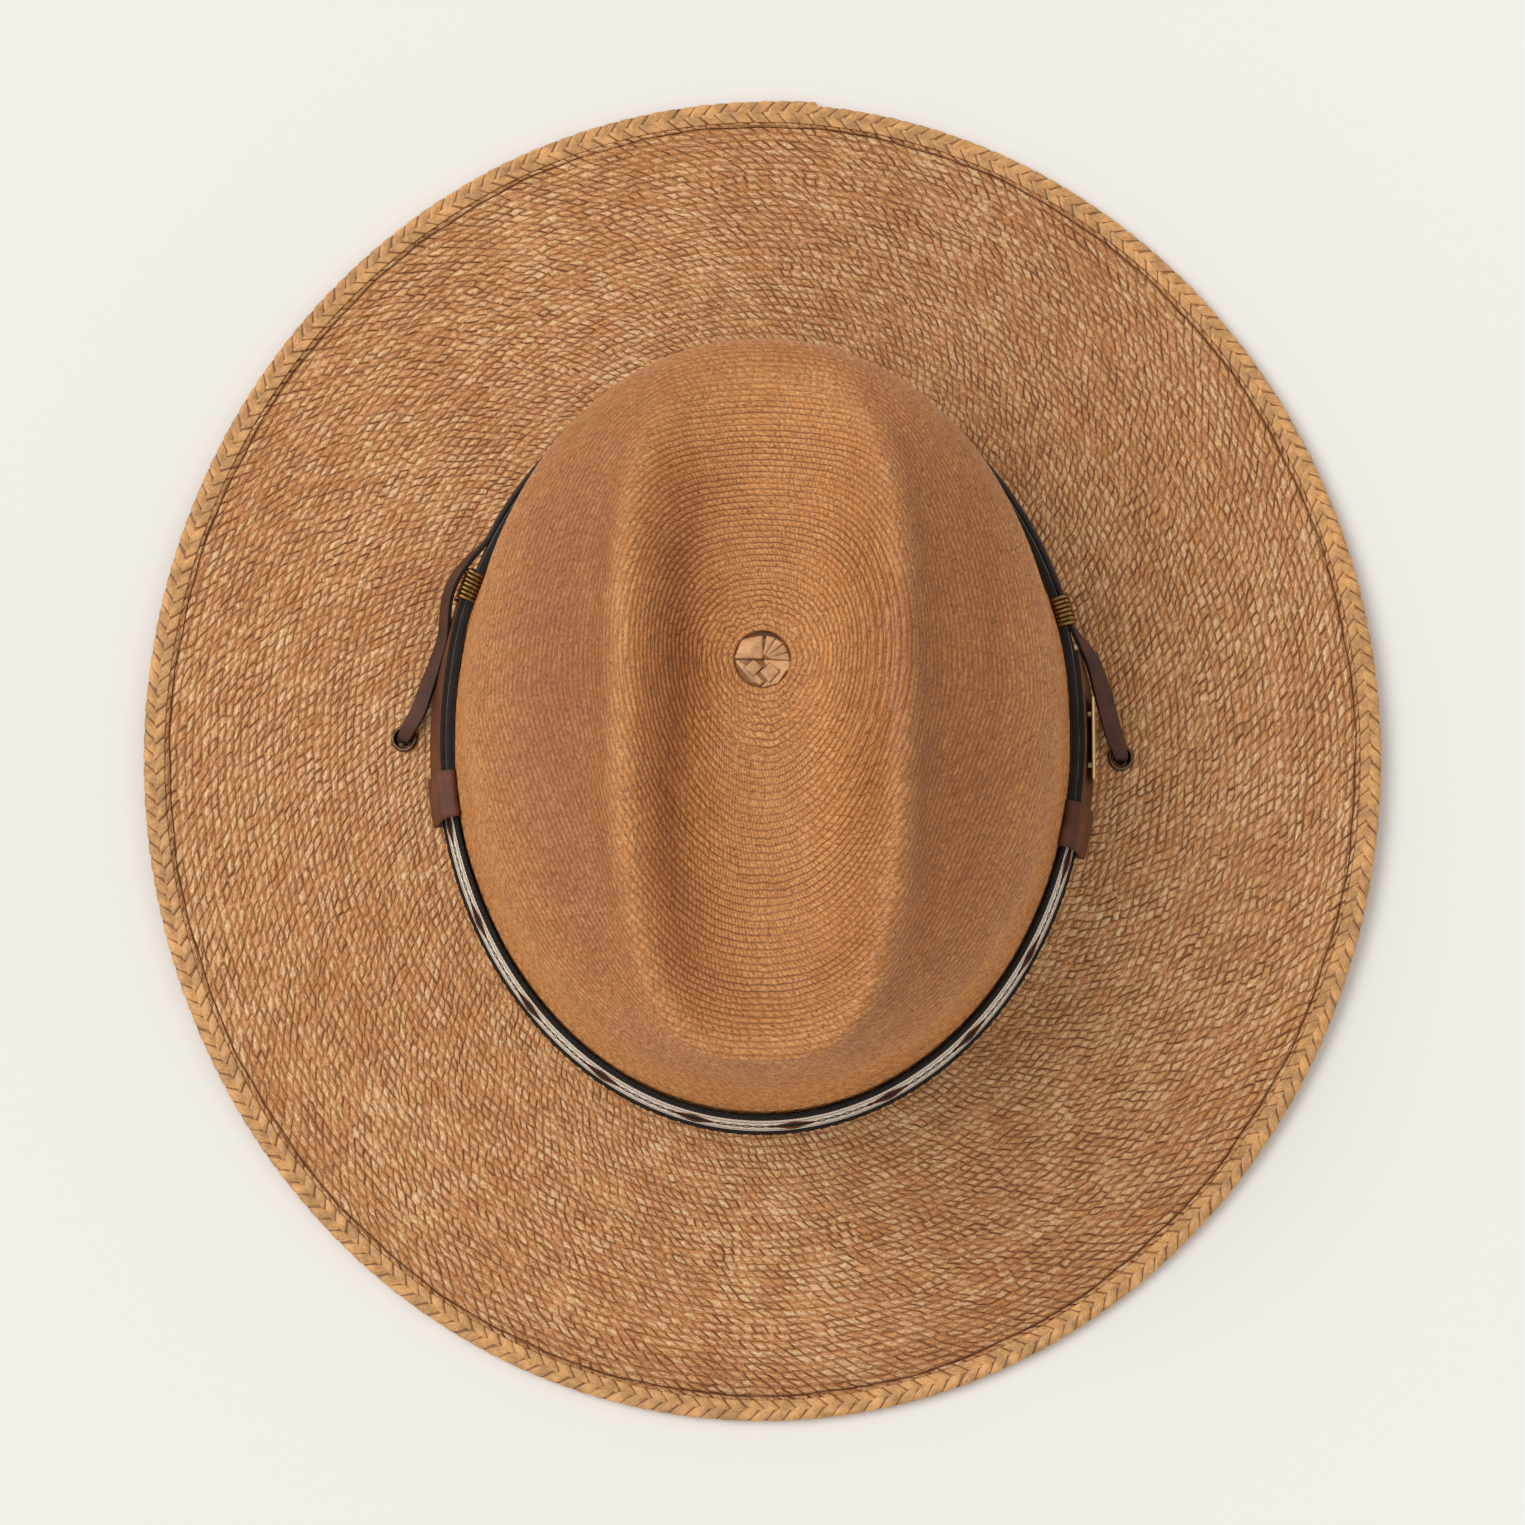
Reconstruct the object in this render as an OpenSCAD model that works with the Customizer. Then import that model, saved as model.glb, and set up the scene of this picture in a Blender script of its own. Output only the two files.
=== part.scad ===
// Wide-brimmed palm-leaf hat with a creased crown, a ribbon and leather band and a chin lace.
// The hat lies brim down on z = 0, with its front towards -Y and the wearer's left towards +X.
// Angles round the oval run from +X (0) through +Y (90); the front is at 270 or -90.
// Millimetres throughout.

/* [Brim] */
// Width of the brim over its edge braid
brim_w = 340; // [320:1:410]
// Length of the brim over its edge braid
brim_l = 366; // [345:1:440]
// Height of the crown's foot above the surface the brim rests on
foot_z = 15; // [12:0.5:20]
// How far the brim's sides stand above its front and back
side_lift = 3; // [0:0.5:6]
// How the brim's slope eases towards the edge, 1 for a straight slope
brim_ease = 1.3; // [1:0.05:1.8]
// Thickness of the woven palm leaf
weave_t = 1.6; // [1.2:0.1:2.2]

/* [Crown] */
// Width of the crown's foot
crown_w = 175; // [146:1:210]
// Length of the crown's foot
crown_l = 210; // [175:1:232]
// Height of the side ridges above the foot
ridge_h = 111; // [104:1:134]
// Distance between the crests of the side ridges
ridge_gap = 71; // [60:1:85]
// Height of the front ridge above the foot
front_h = 107; // [102:1:112]
// Height of the back of the crown above the foot
back_h = 89.5; // [87:0.5:94]
// Height of the middle of the centre crease above the foot
crease_h = 86; // [80:1:90]
// Height of the side dents above the foot
dent_h = 100; // [96:1:103]
// Width of the crown across the side dents
dent_w = 91; // [88:1:96]
// Inset of the wall where it flares into the brim
flare = 4; // [2:0.5:6]
// Lean of the side walls above the flare, as inset for each unit of height
side_lean = 0.085; // [0.05:0.005:0.12]
// Lean of the front and back walls above the flare
end_lean = 0.05; // [0.03:0.005:0.1]
// Distance of the start of the weave behind the hat's middle
start_y = 11; // [0:1:18]
// Radius of the knot that starts the weave
start_r = 7; // [5:0.5:7.5]

/* [Edge] */
// Width of the edge braid, seen from above
braid_w = 5.8; // [4:0.2:8]
// Thickness of one layer of the edge braid
braid_t = 0.9; // [0.6:0.1:1.2]
// Diameter of the wire in the edge
wire_d = 1.2; // [0.8:0.1:1.4]
// Distance of the edge stitching from the brim's edge
stitch_in = 7; // [6.4:0.2:12]
// Diameter of sewing thread
thread_d = 0.5; // [0.3:0.1:0.7]

/* [Sweatband] */
// Height of the leather sweatband
sweat_h = 34; // [25:1:40]
// Thickness of the sweatband
sweat_t = 1.3; // [0.8:0.1:1.6]
// Diameter of the reed at its lower edge
reed_d = 2.2; // [1.6:0.1:2.6]

/* [Band] */
// Height of the ribbon and of the strap's wide ends
band_h = 16; // [13:1:20]
// Height of the band's lower edge above the crown's foot
band_low = 4; // [3.5:0.5:8]
// Thickness of the ribbon
ribbon_t = 0.9; // [0.6:0.1:1.2]
// Thickness of the strap
strap_t = 1.5; // [1:0.1:1.9]
// Height of the strap round the back
strap_back_h = 7; // [5:0.5:10]
// Thickness of the facing on each end of the strap
facing_t = 1.6; // [1:0.1:2]
// Length of each keeper along the band
keeper_l = 13; // [9:1:16]
// Thickness of the keeper's leather
keeper_t = 0.8; // [0.7:0.1:1.1]
// Angle of the left keeper's middle
keeper_left_a = 188.7; // [186:0.1:196]
// Angle of the right keeper's middle
keeper_right_a = -13.4; // [-20:0.1:-10]

/* [Coils] */
// Diameter of the brass wire
coil_wire_d = 0.8; // [0.6:0.1:1]
// Number of turns in each coil
coil_turns = 7; // [5:1:8]
// Length of each coil along the band
coil_l = 8.6; // [7.8:0.1:11]
// Angle of the left coil's middle
coil_left_a = 156.5; // [150:0.5:160]
// Angle of the right coil's middle
coil_right_a = 19.8; // [17:0.5:26]

/* [Badge] */
// Length of the bare badge plate
badge_l = 23; // [16:1:26]
// Height of the badge plate
badge_h = 11; // [8:1:14]
// Thickness of the badge plate
badge_t = 0.7; // [0.5:0.1:1]
// Diameter of the badge's two pins
badge_pin_d = 1.6; // [1.2:0.1:2]

/* [Lace] */
// Width of the chin lace
lace_w = 4.5; // [4:0.1:5.4]
// Thickness of the chin lace
lace_t = 1.4; // [1.1:0.1:1.6]
// Outside diameter of the eyelets
eyelet_d = 7.4; // [7:0.1:9]
// Diameter of the hole through the eyelets
eyelet_hole = 4.8; // [4.6:0.1:5.2]
// Distance of the eyelets' middles from the crown's foot
eyelet_out = 10.4; // [9.5:0.1:16]
// Length of the chin slide along the lace
slide_l = 14; // [10:1:18]
// Thickness of the chin slide's leather
slide_t = 1; // [0.8:0.1:1.2]

/* [Hidden] */

step = 5;                 // degrees between the body's stations round the oval
fine_step = 2.5;          // degrees between the band's stations
gap = 0.1;                // space left between pieces that lie against each other
flare_h = 14;             // height over which the wall's flare dies out
fold_out = 2.6;           // how far the edge braid's fold reaches past the weave
fold_wall = 0.8;          // thickness of that fold
edge_top = weave_t + gap + braid_t;            // top of the weave at the brim's edge
body_w = brim_w - 2 * fold_out;
body_l = brim_l - 2 * fold_out;
brim_side = (body_w - crown_w) / 2;
lift_start = 0.35;        // share of cos^2 at which the brim's sides start to lift

// Offsets of the band's layers from the crown's wall, from the inside out
keeper_in = 0.4;
ribbon_in = keeper_in + keeper_t + gap;
strap_in = ribbon_in;
facing_in = strap_in + strap_t + gap;
keeper_out = facing_in + facing_t + gap;
band_mid = band_low + band_h / 2;
band_lean = lean_at(0);   // the side wall's lean there
tongue_h = 4.4;           // height of the strap where it passes through the coils
lace_in = facing_in;      // the lace lies outside the strap round the back
coil_room = 0.25;         // space between a coil's wire and what it binds
along = PI / 180 * crown_l / 2;                // length of a degree of the oval at the hat's sides

// ---- sections and skins ----

function unit(v) = v / norm(v);
function lerp(a, b, u) = a + (b - a) * u;
function signed_pow(v, p) = sign(v) * pow(abs(v), p);

// Quads between rings i and i + 1 of m points each
function wall_faces(m, count, wrap) = [
    for (i = [0:count - (wrap ? 1 : 2)], j = [0:m - 1])
        let (k = (i + 1) % count, n = (j + 1) % m)
        [i * m + j, i * m + n, k * m + n, k * m + j]
];

// A solid through closed rings that comes back to its first ring
module skin_loop(rings) {
    polyhedron([for (r = rings) each r], wall_faces(len(rings[0]), len(rings), true), convexity = 8);
}

// A solid through closed rings with a flat face on each end
module skin_open(rings) {
    m = len(rings[0]);
    last = (len(rings) - 1) * m;
    polyhedron(
        [for (r = rings) each r],
        concat(
            wall_faces(m, len(rings), false),
            [[for (j = [m - 1:-1:0]) j]],
            [[for (j = [0:m - 1]) last + j]]
        ),
        convexity = 8
    );
}

// A solid through closed rings that narrows to a point at each end
module skin_poles(first, rings, last) {
    m = len(rings[0]);
    count = len(rings);
    polyhedron(
        concat([for (r = rings) each r], [first, last]),
        concat(
            wall_faces(m, count, false),
            [for (j = [0:m - 1]) [m * count, (j + 1) % m, j]],
            [for (j = [0:m - 1]) [m * count + 1, (count - 1) * m + j, (count - 1) * m + (j + 1) % m]]
        ),
        convexity = 8
    );
}

function angles(from, to, by) =
    let (n = max(1, ceil((to - from) / by)))
    [for (i = [0:n]) from + (to - from) * i / n];

function circle_section(r, sides, at = [0, 0]) =
    [for (k = [0:sides - 1]) at + r * [cos(360 * k / sides), sin(360 * k / sides)]];

function tangent(p, i) = unit(p[min(i + 1, len(p) - 1)] - p[max(i - 1, 0)]);

// Rings of a flat oval of eight sides along points; turn tips its width from level towards upright.
// Where the line runs straight up or down, the width lies along steep_side.
function lace_rings(p, w, t, turn, steep_side = [1, 0, 0]) = [
    for (i = [0:len(p) - 1])
        let (
            ahead = tangent(p, i),
            level = cross(ahead, [0, 0, 1]),
            side = unit(norm(level) < 0.3 ? steep_side - ahead * (ahead * steep_side) : level),
            up = cross(side, ahead),
            wide = side * cos(turn[i]) + up * sin(turn[i]),
            thick = up * cos(turn[i]) - side * sin(turn[i])
        )
        [for (k = [0:7])
            let (a = 45 * k + 22.5)
            p[i] + (wide * w[i] / 2 * cos(a) + thick * t / 2 * sin(a)) / cos(22.5)]
];

// ---- the crown's wall and the band's layers on it ----

function flare_inset(h) = flare * (1 - exp(-h / flare_h));
function side_inset(h) = flare_inset(h) + side_lean * h;
function end_inset(h) = flare_inset(h) + end_lean * h;

// The point at angle a and height h above the foot, off outside the wall
function wall_at(a, h, off) = [
    (crown_w / 2 - side_inset(h) + off) * cos(a),
    (crown_l / 2 - end_inset(h) + off) * sin(a),
    foot_z + h
];

// The wall's lean at angle a, at the band's middle
function lean_at(a) =
    let (up = wall_at(a, band_mid + 1, 0) - wall_at(a, band_mid - 1, 0))
    atan(norm([up[0], up[1]]) / up[2]);

// A profile of [off, h] points at angle a
function wall_section(profile, a) = [for (q = profile) wall_at(a, q[1], q[0])];

// The wall curves, so a layer on it has a middle level too
function slab(off, t, low, high) = let (mid = lerp(low, high, 0.4)) [
    [off, low], [off + t, low], [off + t, mid], [off + t, high], [off, high], [off, mid]
];

module wall_ring(profile, by = step) {
    skin_loop([for (a = [0:by:360 - by]) wall_section(profile, a)]);
}

// ---- the brim ----

function edge_lift(a) =
    side_lift * pow(max(0, (pow(cos(a), 2) - lift_start) / (1 - lift_start)), 1.5);

function brim_height(a, d) =
    let (edge = edge_top + edge_lift(a))
    edge + (foot_z - edge) * pow(1 - min(d, 1), brim_ease);

// The point of the brim's top at share d of the way from foot to edge, up above it
function brim_at(a, d, up) = [
    lerp(crown_w, body_w, d) / 2 * cos(a),
    lerp(crown_l, body_l, d) / 2 * sin(a),
    brim_height(a, d) + up
];

// The point r outside the weave's edge, up above the weave's top there
function edge_at(a, r, up) = r <= 0
    ? brim_at(a, 1 + r / brim_side, up)
    : [(body_w / 2 + r) * cos(a), (body_l / 2 + r) * sin(a), brim_height(a, 1) + up];

function edge_section(profile, a) = [for (q = profile) edge_at(a, q[0], q[1])];

module edge_ring(profile) {
    skin_loop([for (a = [0:step:360 - step]) edge_section(profile, a)]);
}

// ---- the woven body: rings from the start of the weave out to the brim's edge ----

// Each row is half width, reach to the front, reach to the back, squareness, and the heights above
// the foot at the sides, front and back, then the middle's distance behind the hat's middle
wall_row_h = [50, 34, 20, 10, 3.5];
function end_at(h) = crown_l / 2 - end_inset(h);      // how far the wall reaches to front and back
crown_rows = [
    [7.5, 7.5 - start_y, 7.5 + start_y, 2, crease_h + 0.3, crease_h + 0.2, crease_h + 0.1, start_y],
    [15, 48, 40, 2.3, crease_h + 4, crease_h + 4, crease_h + 0.8, start_y * 0.8],
    [26, 74, 66, 2.7, lerp(crease_h, ridge_h, 0.62), lerp(crease_h, front_h, 0.5), crease_h + 2,
        start_y * 0.6],
    [ridge_gap / 2, end_at(front_h) - 3.7, 82, 3, ridge_h, front_h, back_h, start_y * 0.5],
    [dent_w / 2, end_at(dent_h) - 0.6, 91, 2.7, dent_h, lerp(dent_h, front_h, 0.2), back_h - 2,
        start_y * 0.3],
    [dent_w / 2 + 12, end_at(91) - 0.2, end_at(82) - 1.2, 2.35, 93, 91, 82, start_y * 0.2],
    [lerp(dent_w, crown_w, 0.55) / 2 + 6, end_at(76), end_at(72), 2.15, 76, 76, 72, 0],
    for (h = wall_row_h) [crown_w / 2 - side_inset(h), end_at(h), end_at(h), 2, h, h, h, 0]
];
row_split = 3;            // rings for each row of the creased part
brim_shares = [1 / brim_side, 4.8 / brim_side, 0.18, 0.38, 0.6, 0.8, 0.96, 1];
root_drop = [1.6, 0.25];  // how far the first brim rings are raised by the root's rounding

function row_point(row, a) =
    let (c = cos(a), s = sin(a), e = 2 / row[3], front = s < 0, k = pow(s, 2))
    [
        row[0] * signed_pow(c, e),
        row[7] + (front ? row[1] + row[7] : row[2] - row[7]) * signed_pow(s, e),
        foot_z + row[4] * (1 - k) + (front ? row[5] : row[6]) * k
    ];

function spline(p0, p1, p2, p3, u) = (
    2 * p1 + (p2 - p0) * u + (2 * p0 - 5 * p1 + 4 * p2 - p3) * pow(u, 2)
    + (3 * p1 - 3 * p2 + p3 - p0) * pow(u, 3)
) / 2;

body_angles = [for (a = [0:step:360 - step]) a];
start_point = [0, start_y, foot_z + crease_h];
creased_count = len(crown_rows) - len(wall_row_h);

function crown_ring(i, u) = [
    for (a = body_angles)
        let (p = [for (k = [i - 1:i + 2]) k < 0 ? start_point : row_point(crown_rows[k], a)])
        spline(p[0], p[1], p[2], p[3], u)
];

function outer_rings() = concat(
    [for (i = [0:creased_count - 1], k = [0:row_split - 1]) crown_ring(i, k / row_split)],
    [for (i = [creased_count:len(crown_rows) - 1]) [for (a = body_angles) row_point(crown_rows[i], a)]],
    [for (i = [0:len(brim_shares) - 1])
        [for (a = body_angles) brim_at(a, brim_shares[i], i < 2 ? root_drop[i] : 0)]]
);

// The ring points moved t below the surface
function sunk_rings(r, t) = [
    for (i = [0:len(r) - 1]) [
        for (j = [0:len(r[i]) - 1])
            let (
                m = len(r[i]),
                round_it = r[i][(j + 1) % m] - r[i][(j + m - 1) % m],
                outward = r[min(i + 1, len(r) - 1)][j] - (i == 0 ? start_point : r[i - 1][j])
            )
            r[i][j] + unit(cross(round_it, outward)) * t
    ]
];

function reversed(list) = [for (i = [len(list) - 1:-1:0]) list[i]];

module woven_shell() {
    outer = outer_rings();
    skin_poles(start_point, concat(outer, reversed(sunk_rings(outer, weave_t))),
        start_point - [0, 0, weave_t]);
}

module woven_body() color("#b98550") difference() {
    woven_shell();
    for (side = [0, 1]) eyelet_place(side) cylinder(d = barrel_d + gap, h = 12, center = true, $fn = 48);
}

// The knot follows the crown's surface a little above it
module weave_start_knot() color("#c08c58") {
    share = start_r / crown_rows[0][0];
    base = sunk_rings([for (k = [0.34, 0.67, 1]) [
        for (a = [0:3 * step:359]) lerp(start_point, row_point(crown_rows[0], a), share * k)
    ]], -gap);
    top = [for (i = [0:2]) [for (p = base[i]) p + [0, 0, [1.5, 1.3, 0.6][i]]]];
    skin_poles(start_point + [0, 0, gap + 1.6], concat(top, reversed(base)), start_point + [0, 0, gap]);
}

// ---- the edge ----

module edge_braid() color("#b27a3c") {
    low = -weave_t - gap;
    in_r = fold_out - braid_w;
    in_fold = fold_out - fold_wall;
    edge_ring([
        [in_r, low - braid_t], [0, low - braid_t], [fold_out - 0.6, low - braid_t], [fold_out, low - 0.2],
        [fold_out, gap + 0.2], [fold_out - 0.6, gap + braid_t], [0, gap + braid_t], [in_r, gap + braid_t],
        [in_r, gap], [0, gap], [in_fold, gap], [in_fold, low], [0, low], [in_r, low]
    ]);
}

wire_at = [(fold_out - fold_wall) / 2, -weave_t / 2];   // middle of the wire in the fold
joint_a = 70;             // the wire's ends meet in the straight stretch after this station
ferrule_wall = 0.15;

// The wire's ring of radius r at share u of the stretch with the joint
function joint_ring(r, u) =
    let (section = circle_section(r, 8, wire_at))
    lerp(edge_section(section, joint_a), edge_section(section, joint_a + step), u);

module edge_wire() color("#8c8c8c") skin_open(concat(
    [joint_ring(wire_d / 2, 0.52)],
    [for (a = [joint_a + step:step:joint_a + 360]) edge_section(circle_section(wire_d / 2, 8, wire_at), a)],
    [joint_ring(wire_d / 2, 0.48)]
));

module edge_wire_ferrule() color("#6f6f72") difference() {
    skin_open([for (u = [0.2, 0.8]) joint_ring(wire_d / 2 + gap / 2 + ferrule_wall, u)]);
    skin_open([for (u = [0.1, 0.9]) joint_ring(wire_d / 2 + gap / 2, u)]);
}

module edge_stitching() color("#6b4526") {
    r = fold_out - stitch_in;
    half = thread_d / 2;
    for (a = [0:step:360 - step]) {
        skin_open([for (b = [a + 0.4, a + step - 0.4]) edge_section([
            [r - half, gap], [r + half, gap], [r + half, gap + thread_d], [r - half, gap + thread_d]
        ], b)]);
    }
}

// ---- the sweatband ----

sweat_gap = 0.45;
sweat_out = -weave_t - sweat_gap;             // its outer face, inside the wall
sweat_low = -1;

module sweatband() color("#6d4a30")
    wall_ring(slab(sweat_out - sweat_t, sweat_t, sweat_low, sweat_low + sweat_h));

module sweatband_reed() color("#3b2a1e")
    wall_ring(circle_section(reed_d / 2, 8, [sweat_out - sweat_t / 2, sweat_low - gap - reed_d / 2]));

module sweatband_stitching() color("#d9c7a0") {
    face = sweat_out - sweat_t - gap / 2;
    for (a = [0:step:360 - step]) {
        skin_open([for (b = [a + 0.5, a + step - 0.9]) wall_section([
            [face - thread_d, 3], [face, 3], [face, 3 + thread_d], [face - thread_d, 3 + thread_d]
        ], b)]);
    }
}

bow_h = 12;               // height of the bow's middle above the foot
bow_l = 14;               // length of each of its loops
bow_loop = 6.5;           // height of each loop
bow_ribbon = 0.7;
bow_w = 3;                // width of its ribbon

module sweatband_bow() color("#2b2622") {
    face = wall_at(90, bow_h, sweat_out - sweat_t - gap)[1];
    translate([0, face, foot_z + bow_h]) rotate([90, 0, 0]) {
        translate([-2.5, -2, 0.5]) cube([5, 4, 1.4 + bow_w]);
        for (side = [-1, 1]) translate([side * (bow_l / 2 + 2.4), 0, 2.3]) linear_extrude(bow_w - 0.6)
            difference() {
                scale([bow_l / bow_loop, 1]) circle(d = bow_loop, $fn = 32);
                scale([(bow_l - 2 * bow_ribbon) / (bow_loop - 2 * bow_ribbon), 1])
                    circle(d = bow_loop - 2 * bow_ribbon, $fn = 32);
            }
    }
}

// ---- the band ----

keeper_half = keeper_l / 2 / along;           // half a keeper's length, in degrees
coil_half = coil_l / 2 / along;
join_room = 0.3;          // ribbon and strap end this many degrees from a keeper's middle

module band_ribbon() color("#d8c3a0")
    skin_open([for (a = angles(keeper_left_a + join_room, 360 + keeper_right_a - join_room, fine_step))
        wall_section(slab(ribbon_in, ribbon_t, band_low, band_low + band_h), a)]);

// How far angle a is past the nearer coil towards its keeper, in degrees
function past_coil(a) = max(a - coil_left_a, coil_right_a - a) - coil_half;

function ease(u) = let (v = min(max(u, 0), 1)) v * v * (3 - 2 * v);

// The strap's height: full at the keepers, a narrow tongue in the coils, middling round the back
function strap_high(a) = let (d = past_coil(a))
    d > 0 ? lerp(tongue_h, band_h, ease((d - 1) / 12))
          : lerp(tongue_h, strap_back_h, ease((-d - 2 * coil_half - 1) / 6));

module strap_layer(off, t, from, to) {
    skin_open([for (a = angles(from, to, fine_step))
        let (half = strap_high(a) / 2)
        wall_section(slab(off, t, band_mid - half, band_mid + half), a)]);
}

// Puts a piece on the right side of the band with +X square to the wall and z = 0 at the band's middle
module badge_place() {
    translate(wall_at(0, band_mid, 0)) rotate([0, -band_lean, 0]) children();
}

module pin_holes() {
    badge_place() for (y = badge_pin_y) translate([0, y, 0]) rotate([0, 90, 0])
        cylinder(d = badge_pin_d + gap, h = 10, $fn = 32);
}

module band_strap() color("#4a2a1a") difference() {
    strap_layer(strap_in, strap_t, keeper_right_a + join_room, keeper_left_a - join_room);
    pin_holes();
}

module strap_facing_left() color("#5b3220")
    strap_layer(facing_in, facing_t, coil_left_a - coil_half - 0.5, keeper_left_a - join_room);

// The right facing ends in a rounded loop before the coil, where the lace leaves it
module strap_facing_right() color("#5b3220") difference() {
    strap_layer(facing_in, facing_t, keeper_right_a + join_room, coil_right_a - coil_half - 4);
    pin_holes();
}

// A keeper is a loop of leather round the band; its outline is a rounded rectangle of [off, h]
module keeper(middle) {
    low = band_low - gap;
    high = band_low + band_h + gap;
    mid = lerp(band_low, band_low + band_h, 0.4);
    inner = [
        [ribbon_in - gap, low], [facing_in + facing_t, low], [keeper_out, low + 0.4], [keeper_out, mid],
        [keeper_out, high - 0.4], [facing_in + facing_t, high], [ribbon_in - gap, high],
        [ribbon_in - gap, mid]
    ];
    outer = [
        [keeper_in, low - keeper_t + 0.3], [facing_in + facing_t, low - keeper_t],
        [keeper_out + keeper_t, low + 0.2], [keeper_out + keeper_t, mid],
        [keeper_out + keeper_t, high - 0.2],
        [facing_in + facing_t, high + keeper_t], [keeper_in, high + keeper_t - 0.3], [keeper_in, mid]
    ];
    stations = angles(middle - keeper_half, middle + keeper_half, fine_step);
    skin_loop([for (k = [0:len(outer) - 1]) concat(
        [for (a = stations) wall_at(a, outer[k][1], outer[k][0])],
        [for (a = reversed(stations)) wall_at(a, inner[k][1], inner[k][0])]
    )]);
}

module keeper_left() color("#5e3320") keeper(keeper_left_a);
module keeper_right() color("#5e3320") keeper(keeper_right_a);

// Two thread tacks hold each keeper's inner layer to the crown
module band_tacks() color("#2a211b") {
    for (middle = [keeper_left_a, keeper_right_a], d = [-2, 2]) {
        inside = wall_at(middle + d, band_mid, sweat_out + 2 * gap);
        outside = wall_at(middle + d, band_mid, keeper_in + keeper_t / 2);
        skin_open([for (p = [inside, outside]) [for (q = circle_section(thread_d / 2, 6))
            p + q[0] * [-sin(middle), cos(middle), 0] + [0, 0, q[1]]]]);
    }
}

// ---- the brass coils ----

coil_steps = 12;          // stations in each turn
coil_round = 0.4;         // 1 for an oval coil, less for a rounder-cornered box

// A helix round what the coil binds: half_off and half_h are the half sizes of the bound bundle
module coil(middle, off, half_off, half_h) {
    reach = [half_off + coil_room + coil_wire_d / 2, half_h + coil_room + coil_wire_d / 2];
    n = coil_turns * coil_steps;
    path = [for (i = [0:n])
        let (turn = 360 * i / coil_steps)
        wall_at(
            middle + coil_half * (2 * i / n - 1),
            band_mid + reach[1] * signed_pow(sin(turn), coil_round),
            off + reach[0] * signed_pow(cos(turn), coil_round)
        )];
    skin_open([for (i = [0:n])
        let (
            ahead = tangent(path, i),
            side = unit(cross(ahead, [-sin(middle), cos(middle), 0])),
            up = cross(side, ahead)
        )
        [for (q = circle_section(coil_wire_d / 2, 6)) path[i] + side * q[0] + up * q[1]]]);
}

left_bundle = strap_t + gap + facing_t;
right_bundle = strap_t + gap + lace_t;

module coil_left() color("#9a7434")
    coil(coil_left_a, strap_in + left_bundle / 2, left_bundle / 2, tongue_h / 2);

module coil_right() color("#9a7434")
    coil(coil_right_a, strap_in + right_bundle / 2, right_bundle / 2, tongue_h / 2);

// ---- the badge ----

badge_pin_y = [-badge_l * 0.3, badge_l * 0.3];
badge_off = facing_in + facing_t + 0.5;       // the plate's back, clear of the curved facing
pin_head_t = 0.4;
// How far the pins' heads stand behind the strap's middle, clear of its curve
pin_back = gap + pow(badge_pin_y[1] + badge_pin_d, 2) * crown_w / pow(crown_l, 2);

module badge_plate() color("#b08a4a") difference() {
    badge_place() translate([badge_off, -badge_l / 2, -badge_h / 2]) cube([badge_t, badge_l, badge_h]);
    pin_holes();
}

// Each pin runs from the plate's front to a head behind the strap
module badge_pins() color("#a37c3f") badge_place()
    for (y = badge_pin_y) translate([strap_in - pin_head_t - pin_back, y, 0]) rotate([0, 90, 0]) {
        cylinder(d = badge_pin_d, h = badge_off + badge_t - strap_in + pin_head_t + pin_back, $fn = 32);
        cylinder(d = badge_pin_d * 2, h = pin_head_t, $fn = 32);
    }

// ---- the eyelets ----

eyelet_a = [178.9, -1.5];  // angles of the left and right eyelets
barrel_d = eyelet_hole + 1;
flange_t = 0.7;
washer_t = 0.5;
eyelet_share = eyelet_out / brim_side;

// The brim's slope at an eyelet, turned about Y
function eyelet_slope(side) =
    let (a = eyelet_a[side], d = eyelet_share)
    (side == 0 ? -1 : 1) * atan((brim_height(a, d - 0.02) - brim_height(a, d + 0.02)) / (0.04 * brim_side));

// The point h above the brim's top on an eyelet's axis
function on_eyelet(side, h) =
    brim_at(eyelet_a[side], eyelet_share, 0) + h * [sin(eyelet_slope(side)), 0, cos(eyelet_slope(side))];

// Puts a piece at an eyelet with its axis square to the brim and z = 0 on the brim's top
module eyelet_place(side) {
    translate(on_eyelet(side, 0)) rotate([0, eyelet_slope(side), 0]) children();
}

// Flange, barrel and the lip rolled over the washer
module eyelet() {
    below = weave_t + 3 * gap + washer_t;
    rotate_extrude($fn = 64) {
        translate([eyelet_hole / 2, 2 * gap]) square([(eyelet_d - eyelet_hole) / 2 - 0.3, flange_t]);
        translate([eyelet_hole / 2, 2 * gap]) square([(eyelet_d - eyelet_hole) / 2, flange_t - 0.3]);
        translate([eyelet_hole / 2, -below - 0.5])
            square([(barrel_d - eyelet_hole) / 2, below + 0.5 + 2 * gap + flange_t / 2]);
        translate([eyelet_hole / 2, -below - 0.5]) square([(barrel_d - eyelet_hole) / 2 + 0.7, 0.4]);
    }
}

module eyelet_washer() {
    rotate_extrude($fn = 64)
        translate([barrel_d / 2 + gap / 2, -weave_t - 2 * gap - washer_t])
            square([(eyelet_d + 0.6 - barrel_d) / 2, washer_t]);
}

module eyelet_left() color("#4c3726") eyelet_place(0) eyelet();
module eyelet_right() color("#4c3726") eyelet_place(1) eyelet();
module eyelet_washer_left() color("#4c3726") eyelet_place(0) eyelet_washer();
module eyelet_washer_right() color("#4c3726") eyelet_place(1) eyelet_washer();

// ---- the chin lace ----

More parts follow.
